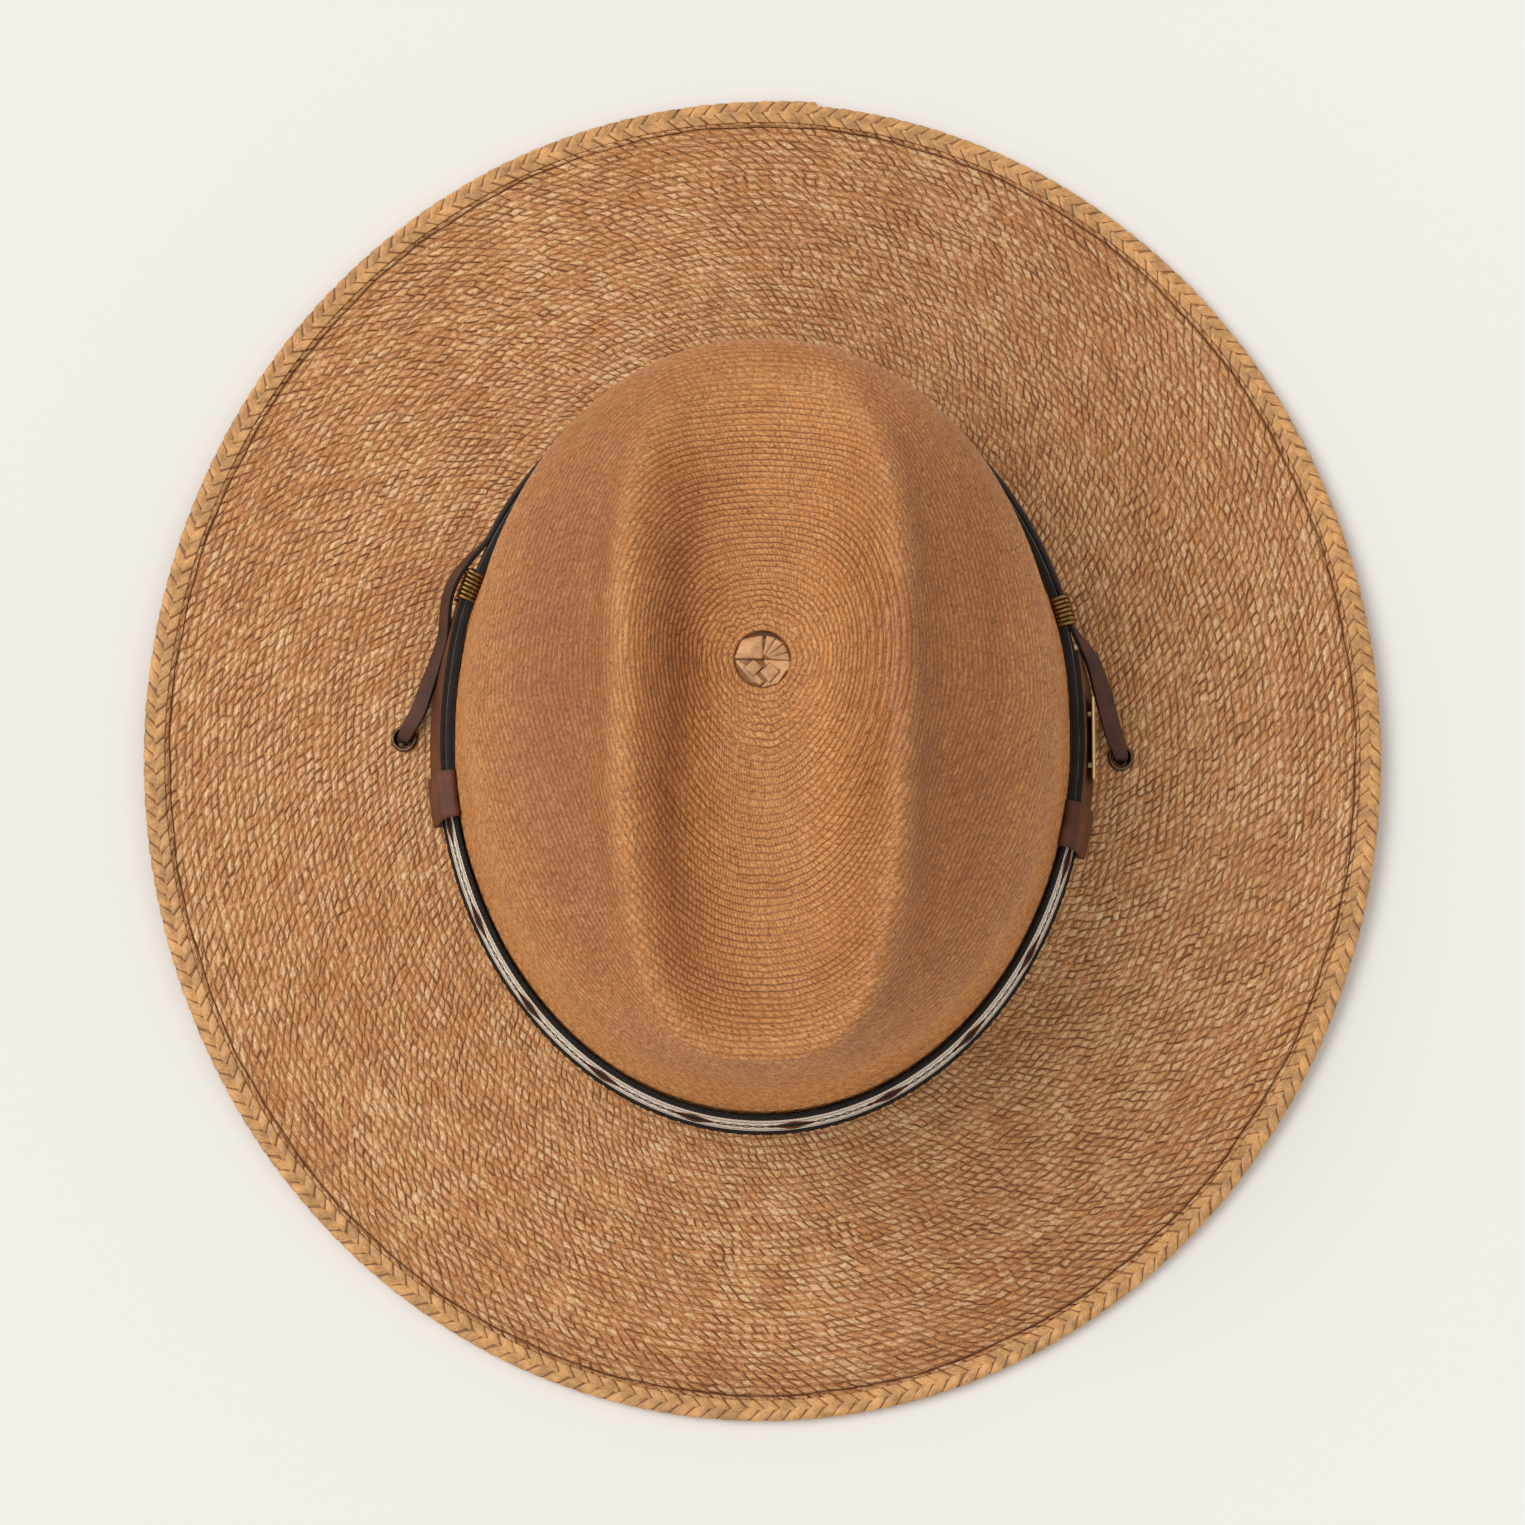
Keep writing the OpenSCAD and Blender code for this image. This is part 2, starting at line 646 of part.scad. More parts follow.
eyelet_at = [on_eyelet(0, 0), on_eyelet(1, 0)];
lace_off = lace_in + lace_t / 2;              // middle of the lace round the back
lace_narrow = 3.6;                            // its width in a coil or an eyelet
coil_outer = strap_in + left_bundle + coil_room + coil_wire_d;

// Round the back the lace lies on the strap, and near the left coil it passes outside the coil
over_coil_turn = 125;
left_off = coil_outer + gap + lace_w / 2 * sin(over_coil_turn - 90) + lace_t / 2 * cos(over_coil_turn - 90);
left_rise = 1.5;
function over_coil(a) = ease((a - 140) / 13);
function lace_back(a) =
    wall_at(a, band_mid + left_rise * over_coil(a), lerp(lace_off, left_off, over_coil(a)));
back_angles = angles(coil_right_a - coil_half, coil_left_a + coil_half + 1, fine_step * 1.5);

// From inside the right eyelet up to the right coil, round the back, past the left coil and down
// into the left eyelet: points, the turn of the width from level, and widths
upper_points = concat(
    [
        on_eyelet(1, -0.6), on_eyelet(1, 1.1), eyelet_at[1] + [-0.6, 2.2, 2.8],
        eyelet_at[1] + [-2.4, 7, 4.6], eyelet_at[1] + [-5.4, 17, 8.8], eyelet_at[1] + [-8.4, 25, 13]
    ],
    [for (a = back_angles) lace_back(a)],
    [
        eyelet_at[0] + [10.3, 26.6, 12.2], eyelet_at[0] + [8, 19.5, 9.5], eyelet_at[0] + [5.6, 13.2, 6.9],
        eyelet_at[0] + [2.9, 6.8, 4.2], eyelet_at[0] + [0.6, 2.2, 2.8], on_eyelet(0, 1.1), on_eyelet(0, -0.6)
    ]
);
upper_turn = concat(
    [180, 180, 178, 170, 156, 132],
    [for (a = back_angles) lerp(90 + lean_at(a), over_coil_turn, over_coil(a))],
    [128, 140, 155, 170, 178, 180, 180]
);
upper_width = concat(
    [lace_narrow, lace_narrow, lace_narrow, lace_w, lace_w, lace_narrow],
    [for (a = back_angles) a < coil_right_a + coil_half + 2 ? lace_narrow : lace_w],
    [lace_w, lace_w, lace_w, lace_w, lace_narrow, lace_narrow, lace_narrow]
);

module chin_lace_upper() color("#54302a")
    skin_open(lace_rings(upper_points, upper_width, lace_t, upper_turn));

// The lace's two free ends lie on the surface inside the crown. Each comes down from its eyelet,
// makes two loose bends, and runs straight through the slide to the knot.
run_x = 2.9;
run_z = 2.3;
lie_z = 0.9;
left_route = [
    [-92.5, 0.5, 7.6], [-87, -1.5, 4], [-80, -5, 1.5], [-72, -11, lie_z], [-65, -20, lie_z],
    [-60, -30, lie_z], [-56, -41, lie_z], [-49, -50, lie_z], [-39, -53, lie_z], [-30, -48, lie_z],
    [-26, -38, lie_z], [-25, -26, lie_z], [-26, -13, lie_z], [-28, 0, lie_z], [-30, 14, lie_z],
    [-31, 28, lie_z], [-30, 42, lie_z], [-27, 54, lie_z], [-20, 63, lie_z], [-11, 64, 1.2],
    [-5, 58, 1.6], [-run_x, 49, run_z], [-run_x, 37, run_z], [-run_x, 24, run_z], [-run_x, 11, run_z],
    [-run_x, -2, run_z], [-run_x, -15, run_z], [-run_x, -28, run_z], [-run_x, -41, run_z],
    [-2.6, -53, 2.2], [-2, -62.6, 3.6]
];
right_route = [
    [92.5, -4, 7.6], [87, -5.5, 4], [80, -7, 1.5], [71, -9, lie_z], [62, -14, lie_z],
    [56, -23, lie_z], [53, -34, lie_z], [49, -45, lie_z], [41, -52, lie_z], [31, -50, lie_z],
    [25, -42, lie_z], [24, -30, lie_z], [27, -17, lie_z], [30, -4, lie_z], [31, 10, lie_z],
    [29, 24, lie_z], [28, 38, lie_z], [26, 51, lie_z], [20, 61, lie_z], [11, 63, 1.2],
    [5, 57, 1.6], [run_x, 49, run_z], [run_x, 37, run_z], [run_x, 24, run_z], [run_x, 11, run_z],
    [run_x, -2, run_z], [run_x, -15, run_z], [run_x, -28, run_z], [run_x, -41, run_z],
    [2.6, -53, 2.2], [2, -62.6, 3.6]
];

// A free end starts inside its eyelet, where the upper lace stops
function lace_end(side, route) =
    concat([on_eyelet(side, -0.7), on_eyelet(side, -3.2)], route);

function end_width(n) = [for (i = [0:n - 1]) i < 3 || i > n - 3 ? lace_narrow : lace_w];

module lace_free_end(side, route) {
    p = lace_end(side, route);
    skin_open(lace_rings(p, end_width(len(p)), lace_t, [for (q = p) 0], [0, side == 0 ? -1 : 1, 0]));
}

module chin_lace_left() color("#54302a") lace_free_end(0, left_route);
module chin_lace_right() color("#54302a") lace_free_end(1, right_route);

slide_room = 0.5;         // space round the lace inside the slide
slide_y = 4;              // the slide's middle at rest
slide_half_w = run_x + lace_w / 2 + slide_room;
slide_half_h = lace_t / 2 + slide_room;

module rounded_slab(half_w, half_h) {
    square([2 * (half_w - half_h), 2 * half_h], center = true);
    for (side = [-1, 1]) translate([side * (half_w - half_h), 0]) circle(r = half_h, $fn = 48);
}

module chin_slide() color("#5e3320")
    translate([0, slide_y, run_z]) rotate([90, 0, 0]) linear_extrude(slide_l, center = true)
        difference() {
            rounded_slab(slide_half_w + slide_t, slide_half_h + slide_t);
            rounded_slab(slide_half_w, slide_half_h);
        }

knot_r = 4.6;
knot_l = 9;
knot_face = -63;          // where the laces enter the knot
tail_l = 20;

// The knot is a barrel of wound lace with the two tails beyond it
module chin_knot() color("#4c2b20") {
    translate([0, knot_face, knot_r]) rotate([90, 0, 0]) rotate_extrude($fn = 48) polygon([
        [0, 0], [3.9, 0], [knot_r, 1.2], [knot_r, 3.6], [knot_r - 0.5, knot_l / 2],
        [knot_r, 5.4], [knot_r, knot_l - 1.2], [3.4, knot_l], [0, knot_l]
    ]);
    for (side = [-1, 1]) {
        tail = [
            [side * 1.9, knot_face - knot_l - gap / 2, 3.2], [side * 2.6, knot_face - knot_l - 5, 2],
            [side * 4, knot_face - knot_l - 12, lie_z], [side * 6, knot_face - knot_l - tail_l, lie_z]
        ];
        skin_open(lace_rings(tail, [3.4, 4, lace_w, lace_w], lace_t, [0, 0, 0, 0]));
    }
}

woven_body();
weave_start_knot();
edge_braid();
edge_wire();
edge_wire_ferrule();
edge_stitching();
sweatband();
sweatband_reed();
sweatband_stitching();
sweatband_bow();
band_ribbon();
band_strap();
strap_facing_left();
strap_facing_right();
keeper_left();
keeper_right();
band_tacks();
coil_left();
coil_right();
badge_plate();
badge_pins();
eyelet_left();
eyelet_right();
eyelet_washer_left();
eyelet_washer_right();
chin_lace_upper();
chin_lace_left();
chin_lace_right();
chin_slide();
chin_knot();
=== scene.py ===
"""Visual model of a wide-brimmed palm-leaf hat. Lengths in the helpers are millimetres."""

import math

import bpy
import numpy as np
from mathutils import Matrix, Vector


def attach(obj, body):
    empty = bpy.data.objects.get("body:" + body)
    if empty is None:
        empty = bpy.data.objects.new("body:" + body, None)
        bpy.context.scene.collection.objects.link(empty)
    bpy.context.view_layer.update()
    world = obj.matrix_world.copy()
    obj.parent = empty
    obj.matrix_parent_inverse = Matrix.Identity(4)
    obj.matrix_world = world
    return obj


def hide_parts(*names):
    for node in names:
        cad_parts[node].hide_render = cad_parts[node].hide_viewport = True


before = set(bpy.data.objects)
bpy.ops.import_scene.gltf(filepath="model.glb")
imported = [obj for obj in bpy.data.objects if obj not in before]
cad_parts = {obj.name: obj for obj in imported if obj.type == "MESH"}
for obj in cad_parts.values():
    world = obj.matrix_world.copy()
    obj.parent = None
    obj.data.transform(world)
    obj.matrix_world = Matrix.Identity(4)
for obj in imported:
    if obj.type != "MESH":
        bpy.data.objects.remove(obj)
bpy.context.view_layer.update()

MM = 0.001


# ---- helpers: numbers ----

def cosd(a):
    return np.cos(np.radians(a))


def sind(a):
    return np.sin(np.radians(a))


def lerp(a, b, u):
    return a + (b - a) * u


def ease(u):
    v = np.clip(u, 0, 1)
    return v * v * (3 - 2 * v)


def unit(v):
    return v / np.maximum(np.linalg.norm(v, axis=-1, keepdims=True), 1e-9)


def signed_pow(v, p):
    return np.sign(v) * np.abs(v) ** p


def smooth_noise(shape, cells, seed):
    """Smooth noise of about -1..1 on a grid; cells is how many bumps it has along each axis."""
    r = np.random.default_rng(seed)
    rows = np.linspace(0, cells[0], shape[0])
    cols = np.linspace(0, cells[1], shape[1], endpoint=False)
    grid = r.uniform(-1, 1, (cells[0] + 2, cells[1]))
    i = np.floor(rows).astype(int)
    j = np.floor(cols).astype(int)
    u = ease(rows - i)[:, None]
    v = ease(cols - j)[None, :]
    a = grid[np.ix_(i, j % cells[1])]
    b = grid[np.ix_(i, (j + 1) % cells[1])]
    c = grid[np.ix_(i + 1, j % cells[1])]
    d = grid[np.ix_(i + 1, (j + 1) % cells[1])]
    return (a * (1 - v) + b * v) * (1 - u) + (c * (1 - v) + d * v) * u


def cubic(p0, p1, p2, p3, u):
    """The point at u on the smooth curve from p1 to p2."""
    return (2 * p1 + (p2 - p0) * u + (2 * p0 - 5 * p1 + 4 * p2 - p3) * u ** 2
            + (3 * p1 - 3 * p2 + p3 - p0) * u ** 3) / 2


def catmull(points, per):
    """Points along a smooth curve through points, per for each stretch, and the last point."""
    p = np.asarray(points, float)
    if p.ndim == 1:
        p = p[:, None]
    ends = np.vstack([2 * p[0] - p[1], p, 2 * p[-1] - p[-2]])
    out = []
    for i in range(len(p) - 1):
        out += [cubic(*ends[i:i + 4], k / per) for k in range(per)]
    out.append(p[-1])
    return np.array(out)


# ---- helpers: meshes ----

def build(name, verts, faces, slot, body="hat", material=None, face_mats=None, uvs=None, node=None):
    """A mesh piece from points in millimetres; uvs is {name: one (u, v) for each face corner}, and node the
    CAD node that it replaces."""
    mesh = bpy.data.meshes.new(name)
    mesh.from_pydata((np.asarray(verts) * MM).tolist(), [], [list(map(int, f)) for f in faces])
    for key, values in (uvs or {}).items():
        layer = mesh.uv_layers.new(name=key)
        layer.data.foreach_set("uv", np.asarray(values, np.float32).ravel())
    materials = material if isinstance(material, (list, tuple)) else [material]
    for m in materials:
        mesh.materials.append(m)
    if face_mats is not None:
        mesh.polygons.foreach_set("material_index", np.asarray(face_mats, np.int32))
    mesh.polygons.foreach_set("use_smooth", np.ones(len(mesh.polygons), bool))
    mesh.update()
    obj = bpy.data.objects.new(name, mesh)
    bpy.context.scene.collection.objects.link(obj)
    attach(obj, body)
    if node:
        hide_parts(node)
    return obj


def corner_uv(*corners):
    """One (u, v) for each face corner, from a pair of arrays for each corner of the faces."""
    return np.stack([np.stack(c, -1) for c in corners], 2).reshape(-1, 2)


def loft(name, rings, slot, wrap=False, ring_mats=None, lengths=None, **more):
    """A tube through closed rings of m points: rings is n x m x 3. In the UV map "piece" u is the share round
    each ring and v runs along the rings, in millimetres. ring_mats gives each side's material."""
    rings = np.asarray(rings, float)
    n, m = rings.shape[:2]
    count = n if wrap else n - 1
    i, j = np.meshgrid(np.arange(count), np.arange(m), indexing="ij")
    a = i * m + j
    b = i * m + (j + 1) % m
    c = ((i + 1) % n) * m + (j + 1) % m
    d = ((i + 1) % n) * m + j
    quads = np.stack([a, b, c, d], -1).reshape(-1, 4)
    if lengths is None:
        mid = rings.mean(1)
        step = np.linalg.norm(np.diff(np.vstack([mid, mid[:1]]), axis=0), axis=1)
        lengths = np.concatenate([[0], np.cumsum(step)])[:count + 1]
    share = np.linspace(0, 1, m + 1)
    u0, u1 = share[j], share[j + 1]
    v0, v1 = lengths[i], lengths[np.minimum(i + 1, len(lengths) - 1)]
    uv = corner_uv((u0, v0), (u1, v0), (u1, v1), (u0, v1))
    faces = quads.tolist()
    mats = None if ring_mats is None else np.asarray(ring_mats)[j].ravel().tolist()
    if not wrap:
        faces.append(list(range(m - 1, -1, -1)))
        faces.append([(n - 1) * m + k for k in range(m)])
        uv = np.vstack([uv, np.tile([[0.5, 0]], (m, 1)), np.tile([[0.5, float(lengths[-1])]], (m, 1))])
        if mats is not None:
            mats += [mats[0], mats[0]]
    return build(name, rings.reshape(-1, 3), faces, slot, face_mats=mats, uvs={"piece": uv}, **more)


def tangents(p):
    t = np.empty_like(p)
    t[1:-1] = p[2:] - p[:-2]
    t[0] = p[1] - p[0]
    t[-1] = p[-1] - p[-2]
    return unit(t)


def tube_rings(p, r, sides=10, closed=False):
    """Rings round a line, with the frame carried along it."""
    p = np.asarray(p, float)
    t = unit(np.roll(p, -1, 0) - np.roll(p, 1, 0)) if closed else tangents(p)
    r = np.broadcast_to(np.asarray(r, float), len(p))
    side = np.cross(t[0], [0, 0, 1.0])
    if np.linalg.norm(side) < 0.1:
        side = np.array([1.0, 0, 0])
    rings = []
    a = np.arange(sides) * 360 / sides
    for k in range(len(p)):
        side = unit(side - t[k] * (side @ t[k]))
        up = np.cross(side, t[k])
        rings.append(p[k] + r[k] * (cosd(a)[:, None] * side + sind(a)[:, None] * up))
    return np.array(rings)


def section_of(w, t, bevel=0.35, per=3):
    """Outline of a flat strip, w by t, with rounded edges; starts on the flat upper face."""
    out = []
    corners = [(w / 2 - bevel, t / 2 - bevel, 0), (-w / 2 + bevel, t / 2 - bevel, 90),
               (-w / 2 + bevel, -t / 2 + bevel, 180), (w / 2 - bevel, -t / 2 + bevel, 270)]
    for x, y, a0 in corners:
        for k in range(per + 1):
            a = a0 + 90 * k / per
            out.append((x + bevel * cosd(a), y + bevel * sind(a)))
    return np.array(out)


# ---- helpers: materials ----

def times(color, k):
    return tuple(min(c * k, 1) for c in color)


class Shader:
    """A small builder for node materials."""

    def __init__(self, name, roughness=0.6, metallic=0.0, color=(0.5, 0.5, 0.5), specular=0.5):
        self.mat = bpy.data.materials.new(name)
        self.mat.use_nodes = True
        self.tree = self.mat.node_tree
        self.bsdf = self.tree.nodes["Principled BSDF"]
        self.bsdf.inputs["Roughness"].default_value = roughness
        self.bsdf.inputs["Metallic"].default_value = metallic
        self.bsdf.inputs["Base Color"].default_value = (*color, 1)
        self.bsdf.inputs["Specular IOR Level"].default_value = specular

    def put(self, socket, value):
        if isinstance(value, bpy.types.NodeSocket):
            self.tree.links.new(value, socket)
        elif isinstance(value, (tuple, list)) and len(value) == 3 and socket.type == "RGBA":
            socket.default_value = (*value, 1)
        else:
            socket.default_value = value

    def node(self, kind, out=0, props=None, **inputs):
        n = self.tree.nodes.new(kind)
        for k, v in (props or {}).items():
            setattr(n, k, v)
        for k, v in inputs.items():
            self.put(n.inputs[int(k[1:])] if k[0] == "i" and k[1:].isdigit() else n.inputs[k], v)
        return n.outputs[out]

    def math(self, op, a, b=0.0, c=0.0):
        return self.node("ShaderNodeMath", props={"operation": op}, i0=a, i1=b, i2=c)

    def mad(self, a, b, c):
        return self.math("MULTIPLY_ADD", a, b, c)

    def add(self, a, b):
        return self.math("ADD", a, b)

    def sub(self, a, b):
        return self.math("SUBTRACT", a, b)

    def mul(self, a, b):
        return self.math("MULTIPLY", a, b)

    def centred(self, a):
        """A value of 0..1 as -0.5..0.5."""
        return self.sub(a, 0.5)

    def near(self, a, b, clear, full):
        """1 where a and b are less than full apart, and 0 past clear."""
        return self.step_up(self.math("ABSOLUTE", self.sub(a, b)), clear, full)

    def fract(self, a):
        return self.math("FRACT", a)

    def floor(self, a):
        return self.math("FLOOR", a)

    def step_up(self, x, low, high):
        """0 below low and 1 above high, smoothly; high may be the lower one."""
        return self.node("ShaderNodeMapRange", props={"interpolation_type": "SMOOTHSTEP"},
                         i0=x, i1=low, i2=high, i3=0.0, i4=1.0)

    def uv(self, name):
        s = self.node("ShaderNodeUVMap", props={"uv_map": name})
        split = self.tree.nodes.new("ShaderNodeSeparateXYZ")
        self.tree.links.new(s, split.inputs[0])
        return split.outputs[0], split.outputs[1]

    def place(self):
        """The place on the hat, in metres."""
        return self.node("ShaderNodeTexCoord", out=3)

    def vector(self, x, y, z=0.0):
        return self.node("ShaderNodeCombineXYZ", i0=x, i1=y, i2=z)

    def noise(self, vector, scale, detail=2.0, roughness=0.5, out=0):
        return self.node("ShaderNodeTexNoise", out=out, Vector=vector, Scale=scale, Detail=detail,
                         Roughness=roughness)

    def random(self, vector, out=0):
        return self.node("ShaderNodeTexWhiteNoise", out=out, props={"noise_dimensions": "3D"}, Vector=vector)

    def mix(self, fac, a, b, mode="MIX"):
        n = self.tree.nodes.new("ShaderNodeMix")
        n.data_type = "RGBA"
        n.blend_type = mode
        self.put(n.inputs[0], fac)
        self.put(n.inputs[6], a)
        self.put(n.inputs[7], b)
        return n.outputs[2]

    def bump(self, height, distance, strength=1.0, normal=None):
        more = {} if normal is None else {"Normal": normal}
        return self.node("ShaderNodeBump", Height=height, Distance=distance, Strength=strength, **more)

    def done(self, color=None, roughness=None, normal=None):
        for key, value in (("Base Color", color), ("Roughness", roughness), ("Normal", normal)):
            if value is not None:
                self.put(self.bsdf.inputs[key], value)
        return self.mat


def palm_material(name, light, mid, dark, slant=1.5, gap=0.12, row_gap=0.16, patches=1.0, specks=0.0,
                  bump=0.0004, roughness=0.5, fibre=0.25, contrast=1.0, domed=0.4, grain=0.6, wander=0.5,
                  seam_least=0.08):
    """Rows of slanted palm strips from the UV map "weave": u counts strips and v counts rows. In the UV map
    "tone" u is how much darker the palm is painted, partly painted shade, and v how little the lines between
    its strips show."""
    s = Shader(name, roughness=roughness, specular=0.3)
    u, v = s.uv("weave")
    place = s.place()
    wobble = s.sub(s.noise(place, 420.0, 1.0), 0.5)
    drift = s.sub(s.noise(place, 160.0, 1.0), 0.5)
    v2 = s.add(v, s.add(s.mul(wobble, wander), s.mul(drift, wander * 0.6)))
    row = s.floor(v2)
    fv = s.fract(v2)
    phase = s.random(s.vector(row, 2.5, 8.5))
    u2 = s.add(s.add(u, phase), s.add(s.mul(wobble, 0.4), s.mul(drift, 0.8)))
    leaning = s.mad(drift, 1.8, slant)
    shifted = s.sub(u2, s.mul(s.centred(fv), leaning))
    cell = s.floor(shifted)
    fu = s.fract(shifted)
    where = s.vector(cell, row, 0.5)
    tone = s.random(where)
    tint = s.random(s.vector(row, cell, 3.5))
    across = s.math("PINGPONG", fu, 0.5)
    along = s.math("PINGPONG", fv, 0.5)
    open_gap = s.mad(s.step_up(s.random(s.vector(cell, row, 6.5)), 0.35, 0.85), 0.75, 0.25)
    seam = s.mad(s.step_up(s.random(s.vector(cell, row, 9.5)), 0.35, 0.95), 0.88 - seam_least, seam_least)
    side_gap = s.mul(open_gap, s.step_up(across, gap * 2, 0.0))
    worn, calm = s.uv("tone")
    edge = s.math("MAXIMUM", side_gap, s.mul(seam, s.step_up(along, row_gap * 2, 0.0)))
    edge = s.mul(edge, s.mad(calm, -0.6, 1.0))
    dome = s.mul(s.math("POWER", s.mul(across, 2.0), 0.45), s.math("POWER", s.mul(along, 2.0), 1.0))
    streak = s.noise(s.vector(s.mul(shifted, 1.1), s.mul(v2, 5.0), 0.0), 1.0, 2.0)
    big = s.noise(place, 26.0, 3.0)
    patch = s.noise(place, 95.0, 2.0)
    fine = s.noise(place, 1100.0, 2.0)
    lightness = s.mad(s.centred(tone), 0.8 * contrast, 0.5)
    lightness = s.mad(s.centred(streak), fibre * 2.2, lightness)
    lightness = s.mad(s.centred(big), 0.55 * patches, lightness)
    lightness = s.mad(s.centred(patch), 0.75 * patches, lightness)
    lightness = s.mad(s.centred(fine), grain, lightness)
    # painted highlight: each strip lighter along its middle and darker towards its sides, as its curve meets
    # the light
    lightness = s.mad(s.sub(dome, 0.42), domed, lightness)
    ramp = s.tree.nodes.new("ShaderNodeValToRGB")
    ramp.color_ramp.elements[0].position = 0.0
    ramp.color_ramp.elements[0].color = (*lerp(np.array(mid), np.array(dark), 0.42), 1)
    ramp.color_ramp.elements[1].position = 1.0
    ramp.color_ramp.elements[1].color = (*light, 1)
    middle = ramp.color_ramp.elements.new(0.48)
    middle.color = (*mid, 1)
    s.tree.links.new(lightness, ramp.inputs[0])
    color = ramp.outputs[0]
    warm = s.mix(s.mul(tint, 0.35), color, (mid[0] * 1.05, mid[1] * 0.83, mid[2] * 0.62))
    color = s.mix(edge, warm, dark)
    # darker, pinker palm where the tone map's u is high; partly painted shade
    color = s.mix(worn, color, s.mix(1.0, color, (0.62, 0.53, 0.47), "MULTIPLY"))
    if specks:
        spots = s.step_up(s.noise(place, 1000.0, 1.5), 0.68 - 0.03 * specks, 0.70)
        color = s.mix(s.mul(spots, 0.6), color, dark)
    height = s.mad(streak, 0.22, s.mul(dome, 0.8))
    height = s.mad(tone, 0.25, height)
    height = s.mad(fine, 0.7, height)
    rough = s.mad(s.centred(tone), 0.16, roughness)
    return s.done(color, rough, s.bump(height, bump, 0.85))


def strip_material(name, color, dark, roughness=0.45, across_scale=26.0, bump=0.0001):
    """Single palm strips: fibres run along v of the UV map "piece"; u is the share across."""
    s = Shader(name, roughness=roughness, specular=0.45)
    u, v = s.uv("piece")
    place = s.place()
    fibre = s.noise(s.vector(s.mul(u, across_scale), s.mul(v, 0.7), 0.0), 1.0, 3.0)
    tone = s.noise(place, 240.0, 2.0)
    fine = s.noise(place, 1200.0, 1.0)
    light = s.mad(s.centred(tone), 1.1, s.add(0.1, s.mul(fibre, 0.9)))
    light = s.mad(s.centred(fine), 0.25, light)
    color_out = s.mix(s.step_up(light, 0.2, 0.95), times(color, 0.62), times(color, 1.28))
    edge = s.step_up(s.math("PINGPONG", u, 0.5), 0.0, 0.09)
    color_out = s.mix(edge, dark, color_out)
    return s.done(color_out, None, s.bump(fibre, bump, 0.7))


def leather_material(name, color, roughness=0.5, grain=1800.0, bump=0.00006, wear=0.5, worn=None):
    """Leather with pores, soft mottling and lighter worn patches."""
    s = Shader(name, roughness=roughness, specular=0.4)
    place = s.place()
    pores = s.node("ShaderNodeTexVoronoi", Vector=place, Scale=grain)
    mottle = s.noise(place, 140.0, 3.0)
    scuff = s.noise(place, 620.0, 4.0, 0.65)
    base = s.mix(s.step_up(mottle, 0.25, 0.75), times(color, 0.6), times(color, 1.25))
    worn = worn or tuple(min(1, c * 2.0 + 0.02) for c in color)
    base = s.mix(s.mul(s.step_up(scuff, 0.56, 0.75), wear), base, worn)
    rough = s.mad(s.centred(mottle), 0.3, roughness)
    height = s.mad(s.centred(scuff), 0.5, pores)
    return s.done(base, rough, s.bump(height, bump, 0.8))


def metal_material(name, color, roughness=0.35, tarnish=(0.1, 0.06, 0.03), amount=0.6, scale=500.0,
                   brushed=None):
    """Metal with a patina; brushed stretches its fine scratches along an axis."""
    s = Shader(name, roughness=roughness, metallic=1.0)
    place = s.place()
    cloud = s.noise(place, scale, 3.0, 0.6)
    base = s.mix(s.mul(s.step_up(cloud, 0.42, 0.7), amount), color, tarnish)
    scaled = s.node("ShaderNodeVectorMath", props={"operation": "MULTIPLY"}, i0=place, i1=brushed or (1, 1, 1))
    scratch = s.noise(scaled, 3000.0, 2.0)
    rough = s.mad(s.centred(scratch), 0.35, roughness)
    return s.done(base, rough, s.bump(scratch, 0.00003, 0.6))


def thread_material(name, color, scale=900.0, roughness=0.8):
    """Twisted thread or satin ribbon."""
    s = Shader(name, roughness=roughness, specular=0.3)
    place = s.place()
    wave = s.node("ShaderNodeTexWave", Vector=place, Scale=scale, Distortion=2.0)
    tone = s.noise(place, 300.0)
    base = s.mix(s.add(s.mul(wave, 0.4), s.mul(tone, 0.4)), times(color, 0.6), times(color, 1.3))
    return s.done(base, None, s.bump(wave, 0.0001, 0.5))


# ---- camera ----

TILT = 7.6  # degrees from straight down, from the hat's front
DISTANCE = 1.6  # along the view, to the ground, in metres
AIM = 0.0025  # the view meets the ground this far in front of the hat's middle
PIXEL = 0.2757e-3  # width of a pixel on the ground there
PICTURE = 1525
SENSOR = 36

camera = bpy.data.objects.new("camera", bpy.data.cameras.new("camera"))
bpy.context.scene.collection.objects.link(camera)
camera.location = (0, -AIM - DISTANCE * math.sin(math.radians(TILT)), DISTANCE * math.cos(math.radians(TILT)))
camera.rotation_euler = (math.radians(TILT), 0, 0)
camera.data.sensor_width = SENSOR
camera.data.lens = SENSOR * DISTANCE / (PICTURE * PIXEL)
bpy.context.scene.camera = camera

# ---- the hat's numbers, as in the CAD source ----

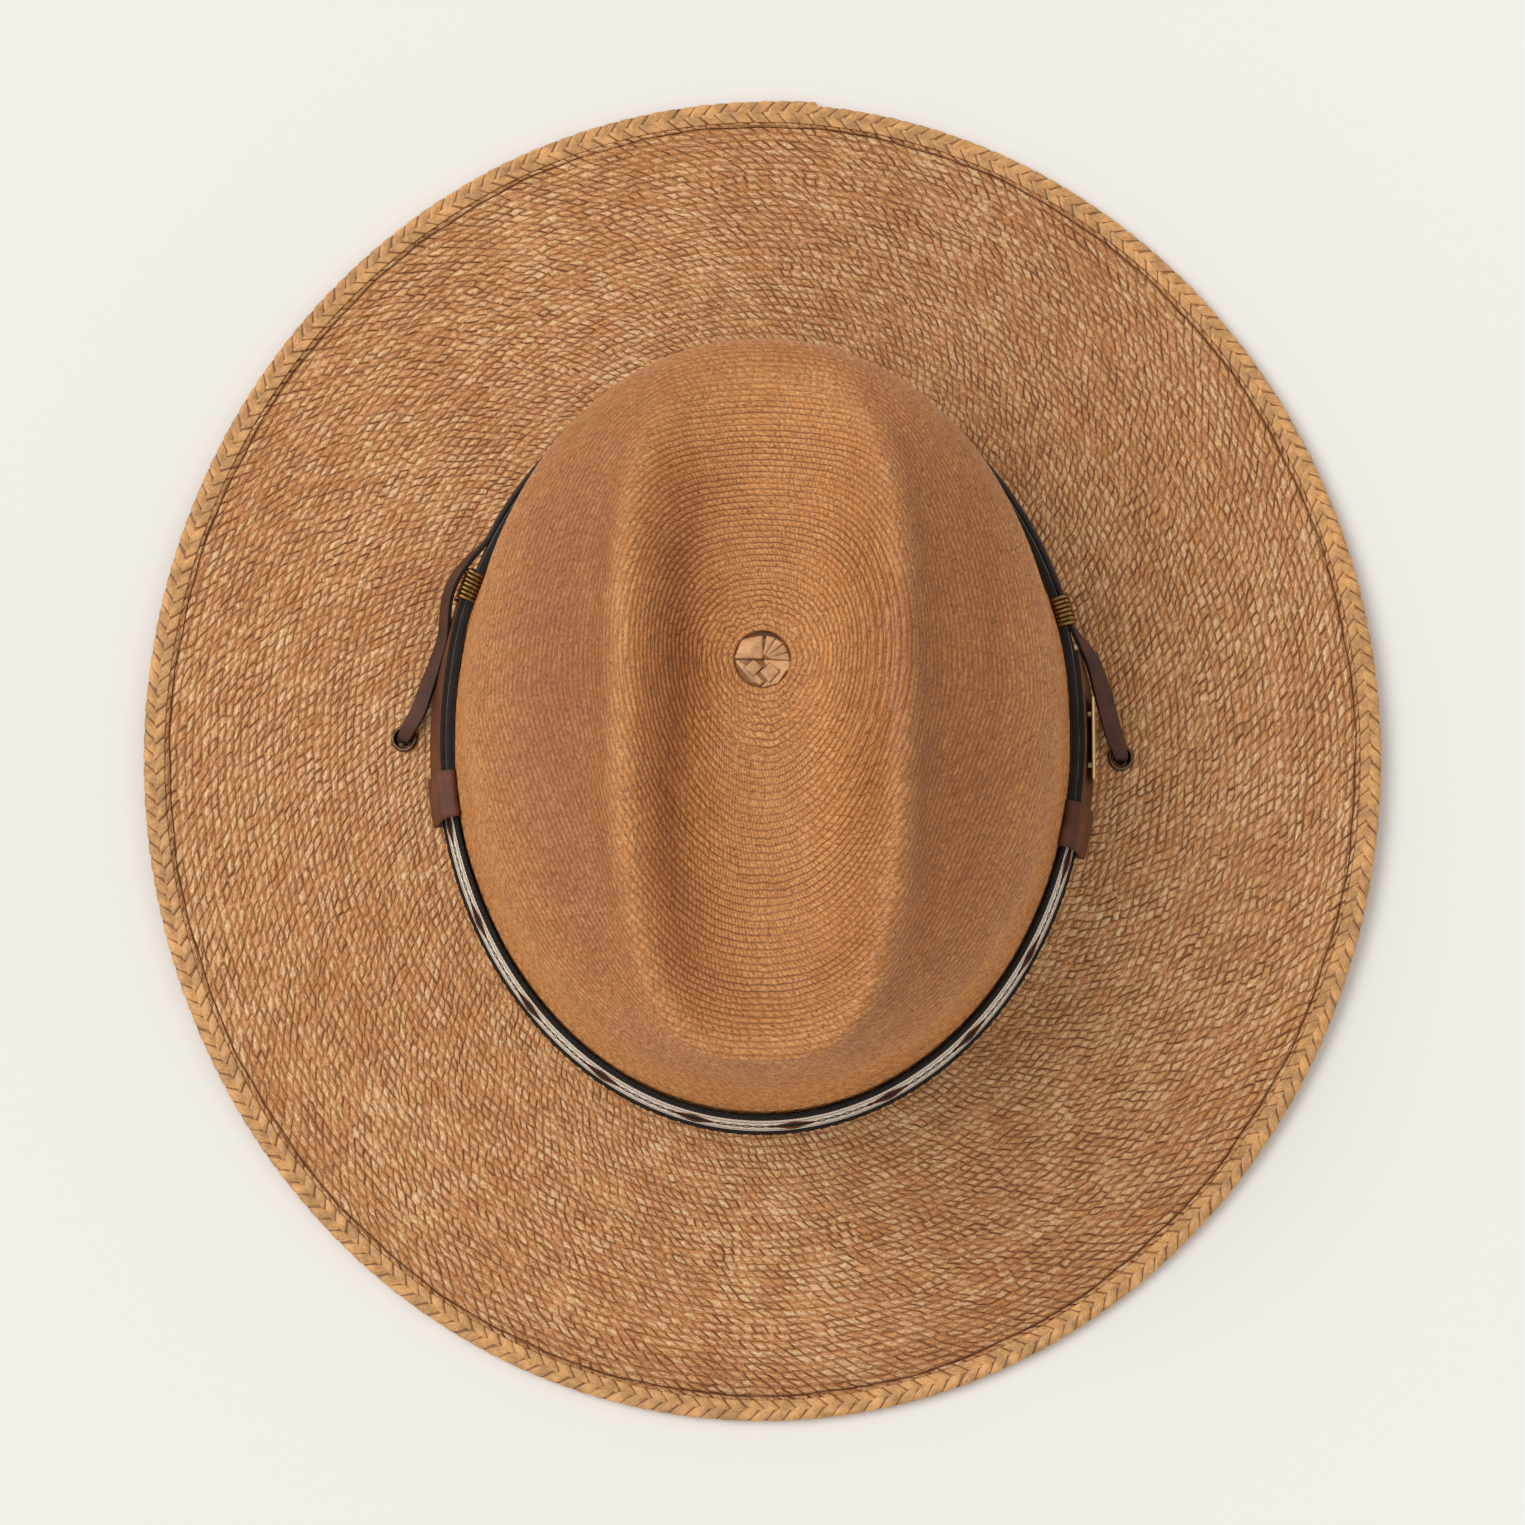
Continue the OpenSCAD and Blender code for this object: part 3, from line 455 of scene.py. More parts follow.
CROWN_W, CROWN_L = 175.0, 210.0
FOOT_Z = 15.0
BODY_W, BODY_L = 334.8, 360.8
SIDE_LIFT, BRIM_EASE, WEAVE_T = 3.0, 1.3, 1.6
FLARE, FLARE_H, SIDE_LEAN, END_LEAN = 4.0, 14.0, 0.085, 0.05
BRIM_SIDE = (BODY_W - CROWN_W) / 2
EDGE_TOP = 2.6
FOLD_OUT = 2.6
RIDGE_H, RIDGE_GAP, FRONT_H, BACK_H, CREASE_H = 111.0, 71.0, 107.0, 89.5, 86.0
DENT_H, DENT_W, START_Y = 100.0, 91.0, 11.0
BAND_LOW, BAND_H = 4.0, 16.0
BAND_MID = BAND_LOW + BAND_H / 2
STRAP_IN, STRAP_T, FACING_T, KEEPER_T, GAP = 1.3, 1.5, 1.6, 0.8, 0.1
FACING_IN = STRAP_IN + STRAP_T + GAP
KEEPER_OUT = FACING_IN + FACING_T + GAP
KEEPER_LEFT, KEEPER_RIGHT = 188.7, -13.4
COIL_LEFT, COIL_RIGHT, COIL_L, COIL_WIRE, COIL_ROOM = 156.5, 19.8, 8.6, 0.8, 0.25
ALONG = math.pi / 180 * CROWN_L / 2
COIL_HALF = COIL_L / 2 / ALONG
KEEPER_HALF = 13 / 2 / ALONG
TONGUE_H, BACK_STRAP_H = 4.4, 7.0
LACE_W, LACE_T, LACE_NARROW = 4.5, 1.4, 3.6
EYELET_A = (178.9, -1.5)
EYELET_OUT, EYELET_D, EYELET_HOLE, EYELET_CUT = 10.4, 7.4, 4.8, 2.95


def flare_inset(h):
    return FLARE * (1 - np.exp(-h / FLARE_H))


def side_inset(h):
    return flare_inset(h) + SIDE_LEAN * h


def end_inset(h):
    return flare_inset(h) + END_LEAN * h


def wall_at(a, h, off):
    a, h, off = np.broadcast_arrays(np.asarray(a, float), np.asarray(h, float), np.asarray(off, float))
    return np.stack([
        (CROWN_W / 2 - side_inset(h) + off) * cosd(a),
        (CROWN_L / 2 - end_inset(h) + off) * sind(a),
        FOOT_Z + h
    ], -1)


def lean_at(a):
    up = wall_at(a, BAND_MID + 1, 0) - wall_at(a, BAND_MID - 1, 0)
    return np.degrees(np.arctan(np.hypot(up[..., 0], up[..., 1]) / up[..., 2]))


def brim_height(a, d):
    lift = SIDE_LIFT * np.maximum(0, (cosd(a) ** 2 - 0.35) / 0.65) ** 1.5
    edge = EDGE_TOP + lift
    return edge + (FOOT_Z - edge) * (1 - np.minimum(d, 1)) ** BRIM_EASE


def brim_at(a, d, up=0.0):
    a, d = np.broadcast_arrays(np.asarray(a, float), np.asarray(d, float))
    return np.stack([
        lerp(CROWN_W, BODY_W, d) / 2 * cosd(a),
        lerp(CROWN_L, BODY_L, d) / 2 * sind(a),
        brim_height(a, d) + up
    ], -1)


def edge_at(a, r, up):
    """The point r outside the weave's edge, up above the weave's top there."""
    a, r, up = np.broadcast_arrays(np.asarray(a, float), np.asarray(r, float), np.asarray(up, float))
    inside = brim_at(a, 1 + np.minimum(r, 0) / BRIM_SIDE)
    out = inside.copy()
    beyond = np.maximum(r, 0)
    out[..., 0] += beyond * cosd(a)
    out[..., 1] += beyond * sind(a)
    out[..., 2] += up
    return out


def eyelet_slope(side):
    a, d = EYELET_A[side], EYELET_OUT / BRIM_SIDE
    rise = (brim_height(a, d - 0.02) - brim_height(a, d + 0.02)) / (0.04 * BRIM_SIDE)
    return (-1 if side == 0 else 1) * math.degrees(math.atan(rise))


def on_eyelet(side, h):
    s = eyelet_slope(side)
    return brim_at(EYELET_A[side], EYELET_OUT / BRIM_SIDE) + h * np.array([sind(s), 0, cosd(s)])


# ---- materials ----

PALM_LIGHT, PALM_MID, PALM_DARK = (0.98, 0.67, 0.36), (0.68, 0.325, 0.125), (0.17, 0.05, 0.014)
brim_palm = palm_material("palm_brim", PALM_LIGHT, PALM_MID, PALM_DARK, slant=0.75, gap=0.12, row_gap=0.12,
                          bump=0.0011, contrast=0.45, domed=0.75, grain=1.3, fibre=0.9)
crown_palm = palm_material("palm_crown", (0.87, 0.44, 0.17), (0.63, 0.275, 0.09), (0.19, 0.06, 0.02),
                           slant=0.6, gap=0.05, row_gap=0.10, patches=0.6, specks=2.8, bump=0.00045,
                           roughness=0.42, contrast=0.3, grain=1.8, fibre=0.5, wander=0.22, seam_least=0.85)
petal_palm = strip_material("palm_plait", (0.66, 0.34, 0.12), (0.13, 0.04, 0.01), across_scale=9.0)
knot_palm = strip_material("palm_knot", (0.68, 0.36, 0.16), (0.20, 0.08, 0.03))
knot_dark = strip_material("palm_knot_dark", (0.36, 0.15, 0.05), (0.16, 0.06, 0.02))
gap_shadow = leather_material("palm_shadow", (0.12, 0.05, 0.02), roughness=0.8, wear=0.1)
lace_brown = leather_material("lace_leather", (0.088, 0.029, 0.015), roughness=0.6, wear=0.25,
                              worn=(0.16, 0.06, 0.035))
lace_edge = leather_material("lace_edge", (0.018, 0.014, 0.013), roughness=0.5, wear=0.5,
                             worn=(0.10, 0.085, 0.075))
facing_brown = leather_material("facing_leather", (0.13, 0.038, 0.012), roughness=0.6, wear=0.3,
                                worn=(0.22, 0.08, 0.035))
keeper_brown = leather_material("keeper_leather", (0.135, 0.042, 0.018), roughness=0.6, wear=0.3,
                                worn=(0.2, 0.075, 0.04))
strap_black = leather_material("strap_black", (0.015, 0.011, 0.009), roughness=0.8, wear=0.6, bump=0.00014,
                               worn=(0.045, 0.036, 0.03))
# painted highlight: the grey line along the straps' upper edges
edge_highlight_grey = leather_material("strap_edge_highlight", (0.09, 0.075, 0.062), roughness=0.45, wear=0.5,
                            worn=(0.2, 0.17, 0.14))
sweat_leather = leather_material("sweat_leather", (0.20, 0.10, 0.05), roughness=0.6, grain=1300, wear=0.35)
reed_leather = leather_material("reed_leather", (0.06, 0.032, 0.02), roughness=0.6)
coil_brass = metal_material("coil_brass", (0.36, 0.20, 0.055), roughness=0.34, amount=0.75,
                            tarnish=(0.07, 0.035, 0.012), scale=900)
badge_brass = metal_material("badge_brass", (0.90, 0.68, 0.36), roughness=0.35, amount=0.15,
                             tarnish=(0.35, 0.22, 0.08), brushed=(1, 0.05, 1))
bronze = metal_material("bronze", (0.17, 0.10, 0.06), roughness=0.36, amount=0.6,
                        tarnish=(0.03, 0.018, 0.012), scale=700)
steel = metal_material("steel_wire", (0.5, 0.5, 0.5), roughness=0.35, amount=0.3, tarnish=(0.2, 0.18, 0.16))
seam_thread = thread_material("seam_thread", (0.10, 0.03, 0.012))
dark_thread = thread_material("dark_thread", (0.03, 0.018, 0.012))
pale_thread = thread_material("pale_thread", (0.62, 0.52, 0.35))
bow_satin = thread_material("bow_satin", (0.02, 0.017, 0.016), roughness=0.4)

# ---- cords: the chin lace's two free ends, and the pieces on them ----

LIE, RUN_X, RUN_Z = 0.9, 2.9, 2.3


def flat(*places):
    """Points that lie on the ground."""
    return [[x, y, LIE] for x, y in places]


def run_in(side):
    """The straight stretch of both ends, through the slide and into the knot."""
    run = [[side * RUN_X, y, RUN_Z] for y in (49, 37, 24, 11, -2, -15, -28, -41)]
    return run + [[side * 2.6, -53, 2.2], [side * 2, -62.6, 3.6]]


left_route = [
    [-92.5, 0.5, 7.6], [-87, -1.5, 4], [-80, -5, 1.5],
    *flat((-72, -11), (-65, -20), (-60, -30), (-56, -41), (-49, -50), (-39, -53), (-30, -48), (-26, -38),
          (-25, -26), (-26, -13), (-28, 0), (-30, 14), (-31, 28), (-30, 42), (-27, 54), (-20, 63)),
    [-11, 64, 1.2], [-5, 58, 1.6], *run_in(-1)
]
right_route = [
    [92.5, -4, 7.6], [87, -5.5, 4], [80, -7, 1.5],
    *flat((71, -9), (62, -14), (56, -23), (53, -34), (49, -45), (41, -52), (31, -50), (25, -42),
          (24, -30), (27, -17), (30, -4), (31, 10), (29, 24), (28, 38), (26, 51), (20, 61)),
    [11, 63, 1.2], [5, 57, 1.6], *run_in(1)
]


def lace_rings(points, widths, turn, steep=(1, 0, 0), per=6):
    """Rings of a flat lace along points; turn tips its width from level, as in the CAD source."""
    p = catmull(points, per)
    w = catmull(np.asarray(widths, float), per)[:, 0]
    turn = catmull(np.asarray(turn, float), per)[:, 0]
    ahead = tangents(p)
    level = np.cross(ahead, [0, 0, 1.0])
    steep = np.asarray(steep, float)
    hard = steep - ahead * (ahead @ steep)[:, None]
    flat = np.linalg.norm(level, axis=1)[:, None]
    side = unit(unit(level) * ease((flat - 0.2) / 0.25) + unit(hard) * (1 - ease((flat - 0.2) / 0.25)))
    up = np.cross(side, ahead)
    wide = side * cosd(turn)[:, None] + up * sind(turn)[:, None]
    thick = up * cosd(turn)[:, None] - side * sind(turn)[:, None]
    sections = [section_of(width, LACE_T) for width in w]
    rings = [q + s[:, :1] * x + s[:, 1:] * y for q, s, x, y in zip(p, sections, wide, thick)]
    return p, np.array(rings)


# the material of each of the 16 sides of section_of: leather on both flat faces, and dark edges
LACE_SIDES = [1, 1, 0, 0, 0, 1, 1, 1, 1, 1, 0, 0, 0, 1, 1, 1]


def free_end(name, node, side, route):
    points = np.vstack([[on_eyelet(side, -0.7), on_eyelet(side, -3.2)], route])
    n = len(points)
    widths = [LACE_NARROW if i < 3 or i > n - 3 else LACE_W for i in range(n)]
    path, rings = lace_rings(points, widths, np.zeros(n), steep=(0, -1 if side == 0 else 1, 0), per=4)
    obj = loft(name, rings, "lace_leather", ring_mats=LACE_SIDES, material=[lace_brown, lace_edge], node=node)
    return obj, path


end_left, path_left = free_end("lace_end_left", "chin_lace_left", 0, left_route)
end_right, path_right = free_end("lace_end_right", "chin_lace_right", 1, right_route)


def knot_rings():
    """Rings of the barrel of wound lace; its middle is r above the ground."""
    face, length, r = -63.0, 9.0, 4.6
    a = np.arange(32) * 360 / 32
    rings = []
    for i in range(41):
        u = i / 40
        y = face - length * u
        body = 3.5 + 1.1 * math.sin(math.pi * u) ** 0.35
        wind = 0.28 * abs(math.sin(3.5 * math.pi * u)) - 0.28
        lump = 0.12 * np.sin(np.radians(a * 2 + 90 * u * 4))
        out = np.minimum(max(body + wind, 1.2) + lump, r)
        rings.append(np.stack([out * cosd(a), np.full(32, y), r + out * sind(a)], -1))
    return np.array(rings)


knot = loft("lace_knot", knot_rings()[:, ::-1], "lace_leather", material=lace_brown, node="chin_knot")
for side, name in ((-1, "lace_tail_left"), (1, "lace_tail_right")):
    tail = [[side * 1.9, -71.2, 3.4], [side * 2.6, -77, 2], [side * 4, -84, LIE], [side * 6, -92, LIE]]
    _, rings = lace_rings(tail, [3.4, 4, LACE_W, LACE_W], np.zeros(4), per=6)
    loft(name, rings, "lace_leather", ring_mats=LACE_SIDES, material=[lace_brown, lace_edge])


def slide_rings():
    """Rings of the flat leather loop round the two ends: the outer face, then back through the inside."""
    y0, y1, half_w, half_h, t = -3.0, 11.0, 5.9, 1.2, 1.0
    rounded = 0.3
    turns = [(cx, a0 + 15 * k) for cx, a0 in ((half_w - half_h, -90), (half_h - half_w, 90))
             for k in range(13)]
    inner, outer = (np.array([(cx + r * cosd(a), r * sind(a)) for cx, a in turns])
                    for r in (half_h, half_h + t))
    rings = []
    for mix_in, y in ((0.0, y0 + rounded), (0.3, y0), (0.7, y0), (1.0, y0 + rounded), (1.0, 0.5), (1.0, 4.0),
                      (1.0, 7.5), (1.0, y1 - rounded), (0.7, y1), (0.3, y1), (0.0, y1 - rounded), (0.0, 7.5),
                      (0.0, 4.0), (0.0, 0.5)):
        q = lerp(inner, outer, mix_in)
        rings.append(np.stack([q[:, 0], np.full(len(q), y), RUN_Z + q[:, 1]], -1))
    return np.array(rings)


slide = loft("lace_slide", slide_rings(), "keeper_leather", wrap=True, material=keeper_brown, body="slide",
             node="chin_slide")

# ---- the woven body ----

WALL_ROWS = (50.0, 34.0, 20.0, 10.0, 3.5)
PER_ROW = 14


def end_at(h):
    return CROWN_L / 2 - end_inset(h)


# rows down the crown: half its width, reach to the front and to the back, roundness, height at the sides, front
# and back, and y of the middle
crown_rows = [
    [7.5, 7.5 - START_Y, 7.5 + START_Y, 2, CREASE_H + 0.3, CREASE_H + 0.2, CREASE_H + 0.1, START_Y],
    [15, 48, 40, 2.3, CREASE_H + 4, CREASE_H + 4, CREASE_H + 0.8, START_Y * 0.8],
    [26, 74, 66, 2.7, lerp(CREASE_H, RIDGE_H, 0.62), lerp(CREASE_H, FRONT_H, 0.5), CREASE_H + 2, START_Y * 0.6],
    [RIDGE_GAP / 2, end_at(FRONT_H) - 3.7, 82, 3, RIDGE_H, FRONT_H, BACK_H, START_Y * 0.5],
    [DENT_W / 2, end_at(DENT_H) - 0.6, 91, 2.7, DENT_H, lerp(DENT_H, FRONT_H, 0.2), BACK_H - 2, START_Y * 0.3],
    [DENT_W / 2 + 12, end_at(91) - 0.2, end_at(82) - 1.2, 2.35, 93, 91, 82, START_Y * 0.2],
    [lerp(DENT_W, CROWN_W, 0.55) / 2 + 6, end_at(76), end_at(72), 2.15, 76, 76, 72, 0],
] + [[CROWN_W / 2 - side_inset(h), end_at(h), end_at(h), 2, h, h, h, 0] for h in WALL_ROWS]


def row_points(row, a):
    half_w, to_front, to_back, power, side_h, front_h, back_h, mid = row
    c, s = cosd(a), sind(a)
    front = s < 0
    reach = np.where(front, to_front + mid, to_back - mid)
    k = s ** 2
    return np.stack([
        half_w * signed_pow(c, 2 / power),
        mid + reach * signed_pow(s, 2 / power),
        FOOT_Z + side_h * (1 - k) + np.where(front, front_h, back_h) * k
    ], -1)


def crown_meridians(a):
    """Closely spaced points down the crown at each angle: angles x points x 3."""
    start = np.broadcast_to([0, START_Y, FOOT_Z + CREASE_H], (len(a), 3))
    rows = [start] + [row_points(r, a) for r in crown_rows[:9]]
    out = []
    for i in range(1, 8):
        out += [cubic(*rows[i - 1:i + 3], k / PER_ROW) for k in range(PER_ROW)]
    inner = [lerp(start, out[0], u) for u in np.linspace(0, 1, 8)[:-1]]
    wall = [wall_at(a, h, 0) for h in np.linspace(50, 2.6, 40)]
    return np.stack(inner + out + wall, 1)


def resample(lines, share):
    """Points at the given shares of each line's length: lines is angles x points x 3."""
    step = np.linalg.norm(np.diff(lines, axis=1), axis=2)
    run = np.concatenate([np.zeros((len(lines), 1)), np.cumsum(step, 1)], 1)
    out = np.empty((len(share), len(lines), 3))
    for k in range(len(lines)):
        at = (share[:, k] if share.ndim == 2 else share) * run[k, -1]
        for c in range(3):
            out[:, k, c] = np.interp(at, run[k], lines[k, :, c])
    return out


def grid_normals(p):
    """Outward normals of rings x columns x 3, with the columns wrapped."""
    round_it = np.roll(p, -1, 1) - np.roll(p, 1, 1)
    down = np.gradient(p, axis=0)
    return unit(np.cross(down, round_it))


def grid_piece(name, rings, v_rows, grains, material, holes=(), shade=None, calm=None):
    """A piece from rings x columns points, closed both ways. v_rows is each ring's row number; holes are
    (centre, radius) in plan, where the faces are left out; shade is how dark each point's palm is, 0..1, and
    calm how little the lines between its strips show."""
    n, m = rings.shape[:2]
    v_rows = np.append(v_rows, v_rows[0])
    i, j = np.meshgrid(np.arange(n), np.arange(m), indexing="ij")
    a, b = i * m + j, i * m + (j + 1) % m
    c, d = (i + 1) % n * m + (j + 1) % m, (i + 1) % n * m + j
    quads = np.stack([a, d, c, b], -1).reshape(-1, 4)
    row = np.minimum(np.floor((v_rows[:-1] + v_rows[1:]) / 2).astype(int), len(grains) - 1)
    count = grains[row][i]
    u0, u1 = j / m * count, (j + 1) / m * count
    v0, v1 = v_rows[i], v_rows[i + 1]
    weave = corner_uv((u0, v0), (u0, v1), (u1, v1), (u1, v0))
    s = np.arange(n + 1) / n * 0.998 + 0.001
    x0, x1 = j / m * 0.998 + 0.001, (j + 1) / m * 0.998 + 0.001
    bake = corner_uv((x0, s[i]), (x0, s[i + 1]), (x1, s[i + 1]), (x1, s[i]))
    points = rings.reshape(-1, 3)
    middle = points[quads].mean(1)[:, :2]
    keep = np.ones(len(quads), bool)
    for centre, radius in holes:
        keep &= np.linalg.norm(middle - centre[:2], axis=1) > radius
    corners = np.repeat(keep, 4)
    shade = np.zeros(n * m) if shade is None else shade.reshape(-1)
    calm = np.zeros(n * m) if calm is None else calm.reshape(-1)
    tone = np.stack([shade[quads[keep]].ravel(), calm[quads[keep]].ravel()], -1)
    build(name, points, quads[keep].tolist(), "palm_weave", material=material, node="woven_body",
          uvs={"OFBake": bake[corners], "weave": weave[corners], "tone": tone})


# The crown: rows wind out from the knot; each row has a valley ring and a crest ring
CROWN_COLS = 400
CROWN_ROWS = 104
KNOT_R = 7.3
angles = np.arange(CROWN_COLS) * 360 / CROWN_COLS
lines = crown_meridians(angles)
line_length = np.linalg.norm(np.diff(lines, axis=1), axis=2).sum(1)
ring_count = 2 * CROWN_ROWS + 1
base_share = np.linspace(0, 1, ring_count)[:, None]
first = (KNOT_R / line_length)[None, :]
grid = (ring_count, CROWN_COLS)
sway = smooth_noise(grid, (34, 36), 5) * 0.55 + smooth_noise(grid, (60, 110), 6) * 0.45
calm = 0.3 + 1.1 * np.exp(-base_share * 14)
ends = np.minimum(base_share * 40, 1) * np.minimum((1 - base_share) * 40, 1)
share = first + (1 - first) * (base_share + sway * calm * ends * 0.42 / CROWN_ROWS)
crown = resample(lines, share)
normal = grid_normals(crown)
crest = (np.arange(ring_count) % 2)[:, None]
tone = np.random.default_rng(8).uniform(-1, 1, grid)
faint = 0.6 * np.clip(0.4 + 1.5 * smooth_noise(grid, (44, 9), 41), 0, 1)
lift = crest * (0.30 - 0.20 * faint) + 0.05 * tone + 0.09 * smooth_noise(grid, (70, 60), 9)
lip = np.exp(-base_share * 60) * (0.5 + 0.5 * sind(angles)[None, :]) * 0.7
lift = lift + lip
# coarse strands on the right wall of the crease
from_right = (angles + 180) % 360 - 180
pull = np.exp(-(from_right / 26.0) ** 2)[None, :] * np.exp(-((base_share - 0.20) / 0.05) ** 2)
strand = np.cos(2 * math.pi * (np.arange(ring_count) - 2) / 4)[:, None]
lift = lift + pull * 0.42 * (strand + 0.5 * smooth_noise(grid, (50, 30), 11))
lift[-1] = 0
outer = crown + normal * lift[..., None]
inner_share = first + (1 - first) * np.linspace(1, 0, 30)[:, None]
inner = resample(lines, inner_share)
inner = inner - grid_normals(inner[::-1])[::-1] * WEAVE_T
rings = np.concatenate([outer, inner])
# darker palm outside the ridge and on the walls
step = np.linalg.norm(np.diff(lines, axis=1), axis=2)
ridge_share = step[:, :7 + PER_ROW * 3].sum(1) / step.sum(1)
past_ridge = (share - ridge_share[None, :]) * line_length[None, :]
sides = cosd(angles)[None, :] ** 2
shade = ease((past_ridge + 4) / 14) * (0.45 + 0.55 * sides) * (1 - 0.55 * ease((past_ridge - 26) / 30))
# painted shade in the grooves between the coarse strands
shade = shade + 0.9 * pull * (strand < -0.5)
calm = np.maximum(ease((past_ridge + 12) / 16), faint)
calm = np.concatenate([calm, np.zeros(inner.shape[:2])])
to_left, to_right, to_front = (np.clip(side, 0, 1)[None, :] ** 2
                               for side in (-cosd(angles), cosd(angles), -sind(angles)))


def inside_ridge(mm, wide):
    """How near a point is to the line that lies mm inside the ridge: 1 on it, 0 far off."""
    return np.exp(-((past_ridge + mm) / wide) ** 2)


# painted shade in the crease: on its left inner wall, along the right ridge and its inner wall, and on its
# inner slope at the front
shade = shade + 0.95 * to_left * inside_ridge(20, 9)
shade = shade + to_right * (0.45 * inside_ridge(5, 9) + 0.35 * inside_ridge(18, 9))
shade = np.minimum(shade + 0.4 * to_front * inside_ridge(12, 14), 1)
shade = np.concatenate([shade, np.zeros(inner.shape[:2])])
v_rows = np.concatenate([np.arange(ring_count) / 2, np.linspace(CROWN_ROWS, 0, 30)])
length_at = np.linalg.norm(np.roll(crown, -1, 1) - crown, axis=2).sum(1)[1::2]
grains = np.where(length_at < 130, 40, np.where(length_at < 300, 100, 160))
grid_piece("woven_crown", rings, v_rows, grains, crown_palm, shade=shade, calm=calm)

# The brim: 36 rows out to the edge, and plain rows underneath
BRIM_COLS = 1120
BRIM_ROWS = 36
TURN_H, TURN_RUN = 2.54, 2.07  # the weave turns up into the wall: how high, and how fast it flattens
angles = np.arange(BRIM_COLS) * 360 / BRIM_COLS
n_top = 2 * BRIM_ROWS + 1
d = np.linspace(0, 1, n_top)[:, None]
grid = (n_top, BRIM_COLS)
sway = smooth_noise(grid, (14, 60), 15) * 0.6 + smooth_noise(grid, (30, 150), 16) * 0.4
hold = np.minimum(d * 20, 1) * np.minimum((1 - d) * 20, 1)
d_here = d + sway * hold * 0.24 / BRIM_ROWS
top = brim_at(angles[None, :], d_here)
distance = d_here * BRIM_SIDE
top[..., 2] += TURN_H * np.exp(-distance / TURN_RUN)
top[0] = wall_at(angles, 2.6, 0)
normal = grid_normals(top)
crest = (np.arange(n_top) % 2)[:, None]
alternate = np.where(np.arange(BRIM_COLS) % 2 == 0, 1.0, -1.0)[None, :]
rough = np.random.default_rng(18).uniform(-1, 1, grid)
lift = crest * (0.19 + 0.08 * alternate) + 0.17 * rough - 0.02
lift = lift + 0.12 * smooth_noise(grid, (24, 90), 19) + 0.35 * smooth_noise(grid, (5, 14), 20) * hold
eyes = [on_eyelet(side, 0) for side in (0, 1)]
for eye in eyes:
    lift = lift * ease((np.linalg.norm(top[..., :2] - eye[:2], axis=2) - 4.2) / 3)
lift[0] = 0
top = top + normal * lift[..., None]
under_d = np.linspace(1, 0, 10)[:, None]
under = brim_at(angles[None, :], under_d)
under_normal = grid_normals(under[::-1])[::-1]
under = under - under_normal * (WEAVE_T - 0.1)
under[-1] = wall_at(angles, 1.2, -WEAVE_T)
rings = np.concatenate([top, under])
v_rows = np.concatenate([np.arange(n_top) / 2, np.linspace(BRIM_ROWS, 0, 10)])
grains = np.full(BRIM_ROWS, 280)
bearing = (angles + 180) % 360 - 180
# painted shade on the brim's right half, behind and in front of the crown, away from the light
right_side_shade = 0.34 * np.exp(-((bearing - 58) / 30) ** 2) + 0.34 * np.exp(-((bearing + 58) / 22) ** 2)
# darker palm towards the front rim
darker_front_rim = 0.4 * np.exp(-((bearing + 90) / 35) ** 2)
shade = np.zeros(rings.shape[:2])
shade[:n_top] = right_side_shade[None, :] + darker_front_rim[None, :] * ease((d - 0.75) / 0.2)
grid_piece("woven_brim", rings, v_rows, grains, brim_palm, [(eye, EYELET_CUT) for eye in eyes], shade=shade)

# ---- the knot where the weave starts ----


def knot_strip(points, height, dome=0.35):
    """A flat strip with four corners (in the knot's plane), domed along its middle: a grid of points."""
    p = np.array(points, float)
    n, m = 9, 7
    out = np.empty((n, m, 3))
    for i in range(n):
        u = i / (n - 1)
        for j in range(m):
            v = j / (m - 1)
            q = lerp(lerp(p[0], p[1], u), lerp(p[3], p[2], u), v)
            x = 2 * v - 1
            out[i, j] = (q[0], q[1], height + dome * (1 - x * x) * (0.35 + 0.65 * math.sin(math.pi * u)))
    return out


STRIP_RUN = 4.3  # length of a strip in the UV map, in millimetres


def sheet_solid(grids, thickness, name, material, node=None):
    """One piece from several grids of points, each with an underside and edges."""
    verts, faces, uv = [], [], []
    for g in grids:
        n, m = g.shape[:2]
        base = len(verts)
        verts.extend(g.reshape(-1, 3))
        verts.extend(g.reshape(-1, 3) - [0, 0, thickness])
        low = base + n * m
        for i in range(n - 1):
            for j in range(m - 1):
                k = i * m + j
                faces.append([base + k, base + k + m, base + k + m + 1, base + k + 1])
                x0, x1, y0, y1 = (j / (m - 1), (j + 1) / (m - 1), i / (n - 1) * STRIP_RUN,
                                  (i + 1) / (n - 1) * STRIP_RUN)
                corner = [(x0, y0), (x0, y1), (x1, y1), (x1, y0)]
                uv.extend([(x, y + 7.0 * len(uv) % 91) for x, y in corner])
                faces.append([low + k, low + k + 1, low + k + m + 1, low + k + m])
                uv.extend([corner[0], corner[3], corner[2], corner[1]])
        rim = ([j for j in range(m)] + [i * m + m - 1 for i in range(1, n)]
               + [(n - 1) * m + j for j in range(m - 2, -1, -1)] + [i * m for i in range(n - 2, 0, -1)])
        for a, b in zip(rim, rim[1:] + rim[:1]):
            faces.append([base + a, base + b, low + b, low + a])
            uv.extend([(0.0, 0.0)] * 4)
    build(name, np.array(verts), faces, "palm_strip", material=material, uvs={"piece": np.array(uv)}, node=node)


knot_grids = []
# a plain quarter at the upper left
knot_grids.append(knot_strip([(0.1, 0.05), (-6.9, 0.2), (-5.0, 5.2), (0.0, 6.2)], 0.75, dome=0.5))
